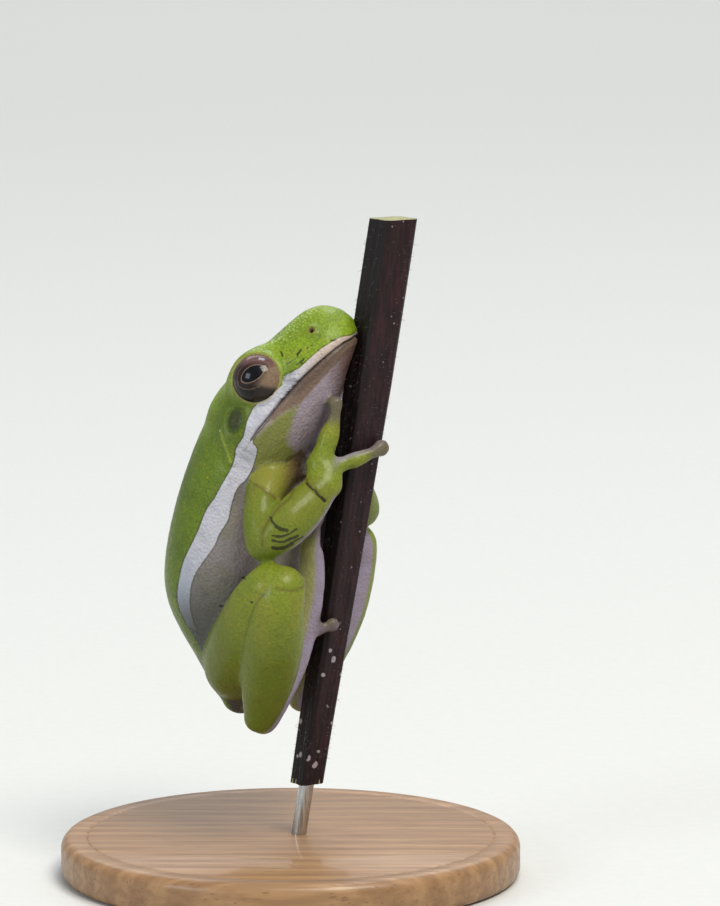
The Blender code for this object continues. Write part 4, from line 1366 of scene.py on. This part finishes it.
def back_colour(tree, read):
    """Yellow-green with deeper clouds and granules, with painted shade lower down towards the vent, a
    painted highlight along the ear fold and painted sheen on the granules of the head's top.
    """
    return painted(tree, read, BACK_GREEN, (
        # Painted shade: the back darker lower down, towards the vent
        ("height", 380, 470, 1.0, BACK_SHADE_GREEN),
        ("height", 560, 660, 0.6, BACK_DEEP_GREEN),
        ("broad", 0.42, 0.68, 0.45, BACK_DEEP_GREEN),
        ("blotch", 0.52, 0.75, 0.4, BACK_YELLOW),
        ("granules", 0.3, 0.75, 0.35, BACK_DEEP_GREEN),
        ("drum", -2.2, -0.2, 0.5, BACK_DEEP_GREEN),
        # Painted highlight along the ear fold
        ("ridge_highlight", 0.2, 1.0, 0.4, RIDGE_HIGHLIGHT_YELLOW),
        # Painted sheen on the granules of the head's top
        ("raised", 0.1, 0.6, 0.75, PAINTED_CROWN_SHEEN),
    ))


def limb_colour(tree, read):
    """Olive green with deeper clouds and granules, and painted shade on the arms, the outer sides and the
    heels.
    """
    return painted(tree, read, LIMB_GREEN, (
        ("broad", 0.4, 0.66, 0.5, LIMB_YELLOW),
        ("blotch", 0.5, 0.8, 0.4, LIMB_DEEP_GREEN),
        ("granules", 0.35, 0.75, 0.3, LIMB_DEEP_GREEN),
        # Painted shade: darker low on the legs, towards the left, and on the arms where the lamp falls most
        ("height", 600, 700, 0.55, LIMB_DEEP_GREEN),
        ("across", 242, 215, 0.5, LIMB_DEEP_GREEN),
        ("arm", 0.0, 1.0, 0.4, LIMB_DEEP_GREEN),
    ))


def flank_colour(tree, read):
    """Lilac grey with olive and dark clouds, darker high up, with painted shade low down and along the
    stripe's edge, turning to cream on the belly.
    """
    return painted(tree, read, FLANK_LILAC, (
        ("broad", 0.4, 0.62, 0.6, FLANK_OLIVE),
        ("blotch", 0.5, 0.75, 0.35, FLANK_DARK),
        ("across", 222, 246, 0.55, FLANK_PINK),
        # Painted shade low down; darker high up; painted shade along the stripe's edge
        ("height", 550, 635, 0.9, FLANK_DARK),
        ("height", 525, 480, 0.6, FLANK_DARK),
        ("under", 1.9, 0.1, 0.65, FLANK_DARK),
        ("belly", 0.0, 1.0, 0.85, BELLY_CREAM),
        ("granules", 0.3, 0.65, 0.14, FLANK_DARK),
    ))


def throat_colour(tree, read):
    """Lilac with the green patch of the jaw and the brown lower lip, with painted shadow just under the
    mouth.
    """
    return painted(tree, read, THROAT_LILAC, (
        ("blotch", 0.42, 0.7, 0.5, THROAT_PINK),
        ("across", 325, 350, 0.8, THROAT_TAN),
        ("jaw", -0.5, 0.7, 1.0, JAW_GREEN),
        ("lip", -0.25, 0.15, 0.95, LIP_TAN),
        # Painted shadow of the upper lip, just under the mouth
        ("lip", 0.55, 1.1, 0.75, LIP_SHADOW_BROWN),
    ))


def stripe_colour(tree, read):
    """White with lilac clouds, bluer down the flank and then darker at its low end as painted shade, pinkish
    on the lip.
    """
    return painted(tree, read, STRIPE_WHITE, (
        ("blotch", 0.42, 0.72, 0.5, STRIPE_LILAC),
        ("height", 540, 600, 0.7, STRIPE_BLUE),
        # Painted shade at the stripe's low end
        ("height", 578, 628, 0.85, FLANK_DARK),
        ("across", 288, 330, 0.8, LIP_PALE),
    ))


def skin_colour(tree, read):
    """The regions of the skin over one another, with painted shade on the chest, then its spots, lids,
    nostrils, painted shade in the mouth, creases and folds, and strokes.
    """
    # Painted shade where the chest falls back behind the arm and the throat
    chest = painted(tree, read, CHEST_OLIVE, (("across", 278, 300, 0.95, CHEST_SHADE_BROWN),))
    lilac = painted(tree, read, INNER_LILAC, (("blotch", 0.4, 0.7, 0.6, INNER_PINK),))
    return painted(tree, read, back_colour(tree, read), (
        ("limb", 0.0, 1.0, 1.0, limb_colour(tree, read)),
        ("under", -0.06, 0.06, 1.0, flank_colour(tree, read)),
        ("throat", 0.0, 1.0, 1.0, throat_colour(tree, read)),
        ("chest", -0.2, 0.3, 1.0, chest),
        ("off_stripe", 0.2, 0.03, 0.5, EDGE_DARK),
        ("stripe", 0.0, 0.12, 1.0, stripe_colour(tree, read)),
        ("foot", 0.0, 1.0, 0.5, FOOT_STRAW),
        ("inner", 0.0, 1.0, 1.0, lilac),
        ("pad", 0.0, 1.0, 0.8, PAD_BROWN),
        ("drum", -0.1, 0.4, 0.85, DRUM_OLIVE),
        ("off_drum", 0.12, 0.0, 0.25, EDGE_DARK),
        ("lid", 0.2, 0.06, 0.6, LID_PALE),
        ("gold", -0.03, 0.05, 0.85, GOLD),
        ("dots", -0.03, 0.05, 0.8, DOT_PALE),
        ("nostril", 0.5, 0.26, 0.8, NOSTRIL_BROWN),
        ("nostril", 0.27, 0.12, 1.0, NOSTRIL_DARK),
        # Painted shade in the groove of the mouth
        ("off_mouth", 0.24, 0.05, 0.85, MOUTH_SHADE_DARK),
        ("specks", 0.0, 1.0, 0.55, EDGE_DARK),
        # Painted shade where thigh and shank meet, below the knee's top
        ("crease_shade", 0.0, 1.0, 0.45, CREASE_SHADE_BROWN),
        # Painted shade in the folds of the limbs and the wrinkles of the stripe
        ("fold", 0.0, 1.0, 0.6, FOLD_SHADE_BROWN),
        ("marks", -0.05, 0.05, 0.88, MARK_DARK),
    ))


def skin_relief(tree, read):
    """Raised granules, flatter on the limbs, with fine pits and soft swellings."""
    smooth = add(tree, "ShaderNodeMapRange", 0, {"Value": read["limb"], "To Min": 1.0, "To Max": 0.75})
    relief = {"Strength": smooth, "Distance": 0.0001, "Height": read["granules"]}
    relief = add(tree, "ShaderNodeBump", 0, relief, invert=True)
    relief = {"Strength": 0.35, "Distance": 0.00006, "Height": read["pits"], "Normal": relief}
    relief = add(tree, "ShaderNodeBump", 0, relief)
    relief = {"Strength": 0.3, "Distance": 0.00015, "Height": read["blotch"], "Normal": relief}
    return add(tree, "ShaderNodeBump", 0, relief)


def moist_skin():
    """Moist amphibian skin: fine granules under a thin wet film, with some light scattered inside,
    so that it looks soft and gives small broken glints.
    """
    made, tree, shader, place = material("moist_frog_skin", {
        "IOR": 1.4, "Subsurface Weight": 0.2, "Subsurface Radius": (1.0, 0.7, 0.35),
        "Subsurface Scale": 0.0006, "Coat Weight": 0.2, "Coat Roughness": 0.22,
        "Specular IOR Level": 0.28,
    })
    read = skin_values(tree, place)
    limits = {"Value": read["fine"], "To Min": 0.4, "To Max": 0.58, **NOISE_SPAN}
    rough = add(tree, "ShaderNodeMapRange", 0, limits)
    for name, more in (("limb", 0.04), ("arm", 0.12)):
        sum_of = {0: read[name], 1: more, 2: rough}
        rough = add(tree, "ShaderNodeMath", 0, sum_of, operation="MULTIPLY_ADD")
    sockets = {"Base Color": skin_colour(tree, read), "Roughness": rough}
    linked(tree, shader, {**sockets, "Normal": skin_relief(tree, read)})
    return made


def oval(tree, read, half_along, half_over):
    """Less than 1 inside a full, slightly uneven oval on the eye, and more outside it."""
    terms = []
    for name, half in (("along", half_along), ("over", half_over)):
        part = add(tree, "ShaderNodeMath", 0, {0: read[name], 1: half}, operation="DIVIDE")
        part = add(tree, "ShaderNodeMath", 0, {0: part}, operation="ABSOLUTE")
        terms.append(add(tree, "ShaderNodeMath", 0, {0: part, 1: 1.9}, operation="POWER"))
    total = add(tree, "ShaderNodeMath", 0, {0: terms[0], 1: terms[1]}, operation="ADD")
    uneven = {0: read["flecks"], 1: 0.35, 2: total}
    total = add(tree, "ShaderNodeMath", 0, uneven, operation="MULTIPLY_ADD")
    return add(tree, "ShaderNodeMath", 0, {0: total, 1: 0.175}, operation="SUBTRACT")


def iris_values(tree, place):
    """Where the pupil, its rings and the light and dark sides of the iris lie, by name, with the sides on
    which the lid's shadow and a reflection are painted.
    """
    read = {name: add(tree, "ShaderNodeAttribute", "Fac", attribute_name=name) for name in ("along", "over")}
    for name, size, detail in (("flecks", 0.3, 4.0), ("clouds", 1.1, 2.0)):
        read[name] = add(tree, "ShaderNodeTexNoise", "Fac", sized(place, size, Detail=detail))
    read["pupil"] = oval(tree, read, *PUPIL_HALF)
    read["iris"] = oval(tree, read, *IRIS_HALF)
    for name, at in (("pupil", 1.16), ("iris", 1.0)):
        off = add(tree, "ShaderNodeMath", 0, {0: read[name], 1: at}, operation="SUBTRACT")
        read[name + "_ring"] = add(tree, "ShaderNodeMath", 0, {0: off}, operation="ABSOLUTE")
    for name, share in (("ahead", 0.6), ("behind", -0.6)):
        side = add(tree, "ShaderNodeMath", 0, {0: read["along"], 1: share}, operation="MULTIPLY")
        sum_of = {0: read["over"], 1: -0.9, 2: side}
        read[name] = add(tree, "ShaderNodeMath", 0, sum_of, operation="MULTIPLY_ADD")
    return read


def frog_eye():
    """A wet cornea over a bronze iris: very glossy and dark, with a black oval pupil."""
    made, tree, shader, place = material("frog_eye_cornea", {
        "Coat Weight": 0.8, "Coat Roughness": 0.03, "Coat IOR": 1.32, "Specular IOR Level": 0.06,
    })
    read = iris_values(tree, place)
    iris = painted(tree, read, "#1e1110", (
        ("clouds", 0.4, 0.65, 0.7, "#301c18"),
        ("flecks", 0.5, 0.7, 0.35, "#4a3029"),
        ("ahead", 0.6, 2.2, 0.9, "#85705a"),
        ("flecks", 0.35, 0.6, 0.2, "#2f261f"),
        # Painted shadow of the lid, near black at the iris's lower back edge
        ("behind", 1.1, 2.0, 0.9, "#060404"),
        # Painted reflection, purple-brown on the iris's upper front
        ("behind", -0.9, -2.0, 0.6, "#6a4847"),
        ("iris_ring", 0.12, 0.03, 0.3, "#7d6658"),
        ("pupil_ring", 0.17, 0.02, 0.5, "#9d8a76"),
        ("flecks", 0.5, 0.75, 0.3, "#33261f"),
        ("pupil", 1.08, 0.96, 1.0, "#04050b"),
    ))
    limits = {"Value": read["flecks"], "To Min": 0.3, "To Max": 0.5, **NOISE_SPAN}
    rough = add(tree, "ShaderNodeMapRange", 0, limits)
    linked(tree, shader, {"Base Color": iris, "Roughness": rough})
    return made


def stem_values(tree, place):
    """The stem's own values and its patterns, by name."""
    read = {name: add(tree, "ShaderNodeAttribute", "Fac", attribute_name=name) for name in ("shaded_side", "cut")}
    drawn = add(tree, "ShaderNodeMapping", 0, {"Vector": place, "Scale": (1.0, 1.0, 0.12)})
    for name, where, size, detail in (
        ("streaks", drawn, 0.45, 4.0), ("broad", place, 4.0, 3.0), ("blotch", place, 0.9, 3.0),
    ):
        read[name] = add(tree, "ShaderNodeTexNoise", "Fac", sized(where, size, Detail=detail))
    read["specks"] = scattered(tree, place, 1.3, 0.1, 0.7)
    crust = add(tree, "ShaderNodeTexVoronoi", "Distance", sized(place, 1.9))
    sum_of = {0: read["blotch"], 1: 0.5, 2: crust}
    read["crust"] = add(tree, "ShaderNodeMath", 0, sum_of, operation="MULTIPLY_ADD")
    height = add(tree, "ShaderNodeSeparateXYZ", "Z", {"Vector": place})
    low = {"Value": height, "From Min": CRUST_TOP / 1000, "From Max": CRUST_FULL / 1000}
    read["low"] = add(tree, "ShaderNodeMapRange", 0, low)
    return read


def stem_skin():
    """Skin of a green stem gone purple-brown: streaked along its length, with a low satin sheen, painted
    shade on the side away from the light, a pale crust low down and pale pith where it is cut.
    """
    made, tree, shader, place = material("purple_plant_stem", {"Specular IOR Level": 0.25})
    read = stem_values(tree, place)
    pith = painted(tree, read, "#4f4a2b", (
        ("cut", 0.9, 0.8, 1.0, "#9a9868"),
        ("blotch", 0.45, 0.7, 0.4, "#77744a"),
    ))
    bark = painted(tree, read, "#1a0b0e", (
        ("streaks", 0.38, 0.7, 0.9, "#34191f"),
        ("broad", 0.45, 0.7, 0.6, "#220f11"),
        ("blotch", 0.55, 0.75, 0.35, "#3b2429"),
        # Painted shade on the side away from the light
        ("shaded_side", 0.0, 1.0, 0.85, "#0f0c0a"),
        ("specks", 0.0, 1.0, 0.6, "#8d8286"),
        ("cut", 0.0, 0.02, 1.0, pith),
    ))
    crusted = painted(tree, read, bark, (("crust", 0.46, 0.4, 0.8, "#a79da1"),))
    bark = painted(tree, read, bark, (("low", 0.0, 1.0, 1.0, crusted),))
    limits = {"Value": read["streaks"], "To Min": 0.45, "To Max": 0.62, **NOISE_SPAN}
    rough = add(tree, "ShaderNodeMapRange", 0, limits)
    ribs = {"Strength": 0.6, "Distance": 0.00015, "Height": read["streaks"]}
    ribs = add(tree, "ShaderNodeBump", 0, ribs)
    linked(tree, shader, {"Base Color": bark, "Roughness": rough, "Normal": ribs})
    return made


def stem_down():
    """Fine whitish hairs of the stem, which catch the light along its edges."""
    made, tree, shader, place = material("stem_down_hairs", {"Roughness": 0.55})
    tone = add(tree, "ShaderNodeTexNoise", "Fac", sized(place, 3.0, Detail=2.0))
    hairs = painted(tree, {"tone": tone}, "#4b4043", (("tone", 0.35, 0.65, 1.0, "#857c80"),))
    linked(tree, shader, {"Base Color": hairs})
    return made


def turned_beech():
    """Beech turned on a lathe and waxed: pale fine-grained wood with short darker flecks."""
    made, tree, shader, place = material("waxed_beech", {"IOR": 1.47, "Coat Weight": 0.15})
    along = add(tree, "ShaderNodeMapping", 0, {"Vector": place, "Scale": (0.08, 1.0, 1.0)})
    grain = add(tree, "ShaderNodeTexNoise", "Fac", sized(along, 0.9, Detail=5.0))
    flecks = add(tree, "ShaderNodeTexNoise", "Fac", sized(along, 0.35, Detail=2.0))
    bands = {**sized(along, 11.0, Distortion=4.0, Detail=3.0), "Detail Scale": 1.2}
    bands = add(tree, "ShaderNodeTexWave", "Fac", bands, bands_direction="Y")
    read = {"grain": grain, "flecks": flecks, "bands": bands}
    wood = painted(tree, read, "#a07b54", (
        ("grain", 0.35, 0.65, 0.8, "#8a6744"),
        ("bands", 0.2, 0.9, 0.4, "#765436"),
        ("flecks", 0.62, 0.72, 0.5, "#5a3e27"),
    ))
    limits = {"Value": grain, "To Min": 0.38, "To Max": 0.52, **NOISE_SPAN}
    rough = add(tree, "ShaderNodeMapRange", 0, limits)
    pores = add(tree, "ShaderNodeBump", 0, {"Strength": 0.3, "Distance": 0.00004, "Height": flecks})
    linked(tree, shader, {"Base Color": wood, "Roughness": rough, "Normal": pores})
    return made


def drawn_steel():
    """Drawn stainless steel rod: bright, with faint lines along its length."""
    made, tree, shader, place = material("drawn_stainless_steel", {"Metallic": 1.0})
    along = add(tree, "ShaderNodeMapping", 0, {"Vector": place, "Scale": (1.0, 1.0, 0.03)})
    lines = add(tree, "ShaderNodeTexNoise", "Fac", sized(along, 0.15, Detail=2.0))
    steel = painted(tree, {"lines": lines}, "#a9abac", (("lines", 0.3, 0.7, 1.0, "#c9c9c6"),))
    limits = {"Value": lines, "To Min": 0.2, "To Max": 0.34, **NOISE_SPAN}
    rough = add(tree, "ShaderNodeMapRange", 0, limits)
    linked(tree, shader, {"Base Color": steel, "Roughness": rough})
    return made


def studio_paper():
    """Matt pale studio paper with a barely seen tooth."""
    made, tree, shader, place = material("studio_paper", {"Roughness": 0.85})
    tooth = add(tree, "ShaderNodeTexNoise", "Fac", sized(place, 1.5, Detail=2.0))
    paper = painted(tree, {"tooth": tooth}, "#c8c9c5", (("tooth", 0.3, 0.7, 1.0, "#cbcbc7"),))
    linked(tree, shader, {"Base Color": paper})
    return made


def finish(thing, name, paint, nodes):
    """Metres, smooth faces, one material, and the body that the piece rides on."""
    thing.name = name
    mesh = thing.data
    mesh.transform(Matrix.Scale(0.001, 4))
    mesh.materials.clear()
    mesh.materials.append(paint)
    mesh.shade_smooth()
    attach(thing, "root")
    if nodes:
        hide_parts(*nodes)
    return thing


def make_skin():
    """One skin over the whole frog, with its folds, lids, lips and markings."""
    forms = body_forms()
    every = [mesh for meshes in forms.values() for mesh in meshes]
    trees = {name: tree_of(meshes) for name, meshes in forms.items()}
    thing = fused(every, SKIN_VOXEL, "frog_skin")
    mesh = thing.data
    relaxed(mesh, 4)
    filled(mesh, run_together(Skin(mesh, trees)), FILL_ROUNDS)
    relaxed(mesh, 1)
    set_places(mesh, with_lids(clear_of_stem(places_of(mesh)), LID_FALL))
    relaxed(mesh, 14, wanted=round_the_eyes(places_of(mesh)))
    skin = Skin(mesh, trees)
    head = head_tree(mesh, skin)
    mouth = mouth_places(head)
    nostrils = [on_head(head, *NOSTRIL_PLACE, side)[0] for side in (-1, 1)]
    skin.see_face(mouth, nostrils, head)
    refined(mesh, small_detail(skin))
    relaxed(mesh, 1, 0.3)
    skin = Skin(mesh, trees)
    skin.see_face(mouth, nostrils, head)
    set_places(mesh, with_lids(clear_of_stem(carve(skin)), LID_FALL_CARVED))
    skin.places = places_of(mesh)
    markings(mesh, skin)
    for extra in every:
        bpy.data.meshes.remove(extra)
    return finish(thing, "frog_skin", moist_skin(), FLESH)


def make_eye(side):
    """An eyeball with values on it that place the iris and the pupil."""
    mesh = ball(eye_centre(side), EYE_RADIUS, "eyeball", 64)
    centre = np.array(eye_centre(-1))
    at = picture(centre[None, :])[0]
    right = (PUPIL_SEEN[0] - at[0]) / PIXELS_PER_MM
    rise = (at[1] - PUPIL_SEEN[1]) / PIXELS_PER_MM
    front = math.sqrt(EYE_RADIUS**2 - right**2 - rise**2)
    way = (ACROSS * right + SEEN_UP * rise - SIGHT * front).normalized()
    along = ACROSS * math.cos(PUPIL_TILT) + SEEN_UP * math.sin(PUPIL_TILT)
    along = (along - way * along.dot(way)).normalized()
    over = way.cross(along)
    if over.dot(CROWN) < 0:
        over = -over
    rays = to_right(places_of(mesh))[0] - centre
    hidden = (rays @ np.array(way)) < 0
    set_values(mesh, "along", rays @ np.array(along) + FAR * hidden)
    set_values(mesh, "over", rays @ np.array(over))
    return object_of(mesh, "eyeball")


def make_stem():
    """The perch: a square, finely ribbed stem with flat cut ends."""
    rings = []
    heights = list(np.linspace(STEM_FOOT.z, STEM_TOP.z, STEM_LEVELS))
    levels = [(heights[0], share) for share in CUT_RINGS]
    levels += [(height, 1.0) for height in heights]
    levels += [(heights[-1], share) for share in reversed(CUT_RINGS)]
    for height, share in levels:
        points = []
        for k in range(STEM_SIDES):
            turn = 2 * math.pi * k / STEM_SIDES
            wave = noise.noise(Vector((math.cos(turn) * 2, math.sin(turn) * 2, height / 14)))
            rib = RIB_RISE * math.cos(turn * RIB_COUNT + 0.6 * math.sin(height / 9)) + STEM_WAVE * wave
            radius = float(stem_reach(height, turn)) + rib - 0.05
            way = Vector((math.cos(turn), math.sin(turn), 0.0))
            points.append(stem_axis(height) + way * radius * share)
        rings.append(points)
    mesh = lofted(rings, "stem")
    places = places_of(mesh)
    _, _, turn, reach = round_stem(places)
    share = reach / stem_reach(places[:, 2], turn)
    at_end = (places[:, 2] > STEM_TOP.z - 0.01) | (places[:, 2] < STEM_FOOT.z + 0.01)
    set_values(mesh, "cut", np.where(at_end & (share < 0.94), np.maximum(share, 0.03), 0.0))
    set_values(mesh, "shaded_side", rises(np.cos(turn - SHADED_SIDE), 0.45, 0.85))
    return object_of(mesh, "stem")


def make_down():
    """Short hairs that stand off the stem. Each has its own small patch of the map."""
    rng = np.random.default_rng(HAIR_SEED)
    bm = bmesh.new()
    patches = bm.loops.layers.uv.new("OFBake")
    for _ in range(HAIR_COUNT):
        height = rng.uniform(STEM_FOOT.z + 1, STEM_TOP.z - 0.5)
        turn = rng.uniform(0, 2 * math.pi)
        out = Vector((math.cos(turn), math.sin(turn), 0.0))
        root = stem_axis(height) + out * (float(stem_reach(height, turn)) - 0.1)
        lean = Vector((rng.normal(0, 0.25), rng.normal(0, 0.25), rng.normal(-0.35, 0.3)))
        way = (out + lean).normalized()
        length = rng.uniform(*HAIR_LENGTHS)
        made = bmesh.ops.create_cone(
            bm, cap_ends=True, segments=3, radius1=HAIR_RADIUS, radius2=HAIR_TIP, depth=length
        )["verts"]
        share = (height - STEM_FOOT.z) / (STEM_TOP.z - STEM_FOOT.z)
        at = Vector((turn / (2 * math.pi), share))
        for loop in (loop for vert in made for loop in vert.link_loops):
            offset = Vector((loop.vert.co.x / HAIR_RADIUS, loop.vert.co.z / length))
            loop[patches].uv = at * 0.99 + offset * 0.0015
        turned = UP.rotation_difference(way).to_matrix()
        bmesh.ops.rotate(bm, matrix=turned, verts=made)
        bmesh.ops.translate(bm, vec=root + way * (length / 2), verts=made)
    return object_of(mesh_from(bm, "down"), "down")


def make_base():
    """The turned disc of the stand, with a rounded rim and a shallow bead."""
    bm = bmesh.new()
    verts = [bm.verts.new((BASE_RADIUS - inward, 0.0, height)) for inward, height in BASE_OUTLINE]
    edges = [bm.edges.new(pair) for pair in zip(verts[:-1], verts[1:])]
    bmesh.ops.spin(
        bm, geom=verts + edges, axis=UP, cent=(0, 0, 0), steps=144, angle=2 * math.pi, use_merge=True
    )
    bmesh.ops.remove_doubles(bm, verts=bm.verts, dist=0.001)
    return object_of(mesh_from(bm, "base"), "base")


def make_rod():
    """The rod, from inside the base up into the stem."""
    way = (STEM_TOP - STEM_FOOT).normalized()
    top = STEM_FOOT + way * ROD_IN_STEM
    foot = STEM_FOOT - way * ((STEM_FOOT.z - BASE_HEIGHT + ROD_IN_BASE) / way.z)
    across = way.cross(AWAY).normalized()
    over = across.cross(way)
    rings = [
        section(foot.lerp(top, k / 12), across, over, ROD_RADIUS, ROD_RADIUS, ROD_RADIUS, 48)
        for k in range(13)
    ]
    return object_of(lofted(rings, "rod"), "rod")


def make_floor():
    """The paper that the stand rests on, in metres."""
    bm = bmesh.new()
    bmesh.ops.create_grid(bm, x_segments=8, y_segments=8, size=4.0)
    bmesh.ops.translate(bm, vec=(0, 0, -0.0001), verts=bm.verts)
    floor = object_of(mesh_from(bm, "studio_floor"), "studio_floor")
    floor.data.materials.append(studio_paper())


def make_light(name, place, aim, width, power, colour):
    """A soft square lamp turned to its aim."""
    place = Vector(place)
    lamp = bpy.data.lights.new(name, "AREA")
    lamp.size = width / 1000
    lamp.energy = power
    lamp.color = srgb(colour)[:3]
    holder = bpy.data.objects.new(name, lamp)
    holder.location = place * 0.001
    holder.rotation_euler = (Vector(aim) - place).to_track_quat("-Z", "Y").to_euler()
    bpy.context.scene.collection.objects.link(holder)


def light_the_scene():
    """A pale studio, its lamps and plain colour handling."""
    world = bpy.data.worlds.new("studio")
    bpy.context.scene.world = world
    world.use_nodes = True
    background = world.node_tree.nodes["Background"]
    background.inputs["Color"].default_value = srgb("#dfe3e6")
    background.inputs["Strength"].default_value = 0.55
    for lamp in LAMPS:
        make_light(*lamp)
    bpy.context.scene.view_settings.view_transform = "Standard"


def place_camera():
    """The camera that frames the frog as the photograph does."""
    camera = bpy.data.cameras.new("photo_camera")
    camera.sensor_width = SENSOR
    camera.lens = SENSOR * CAMERA_AWAY * PIXELS_PER_MM / PHOTO_HEIGHT
    camera.clip_start = 0.01
    holder = bpy.data.objects.new("photo_camera", camera)
    holder.location = (CAMERA_AIM - SIGHT * CAMERA_AWAY) * 0.001
    holder.rotation_euler = SIGHT.to_track_quat("-Z", "Y").to_euler()
    bpy.context.scene.collection.objects.link(holder)
    bpy.context.scene.camera = holder


def build():
    place_camera()
    light_the_scene()
    make_skin()
    cornea = frog_eye()
    finish(make_eye(-1), "right_eyeball", cornea, ["right_eye"])
    finish(make_eye(1), "left_eyeball", cornea, ["left_eye"])
    stem = finish(make_stem(), "ribbed_stem", stem_skin(), ["perch_stem"])
    finish(make_down(), "stem_hairs", stem_down(), [])
    base = finish(make_base(), "turned_base", turned_beech(), ["stand_base"])
    rod = finish(make_rod(), "steel_rod", drawn_steel(), ["stand_rod"])
    for hard in (stem, base, rod):
        hard.data.set_sharp_from_angle(angle=SHARP_EDGE)
    make_floor()


build()
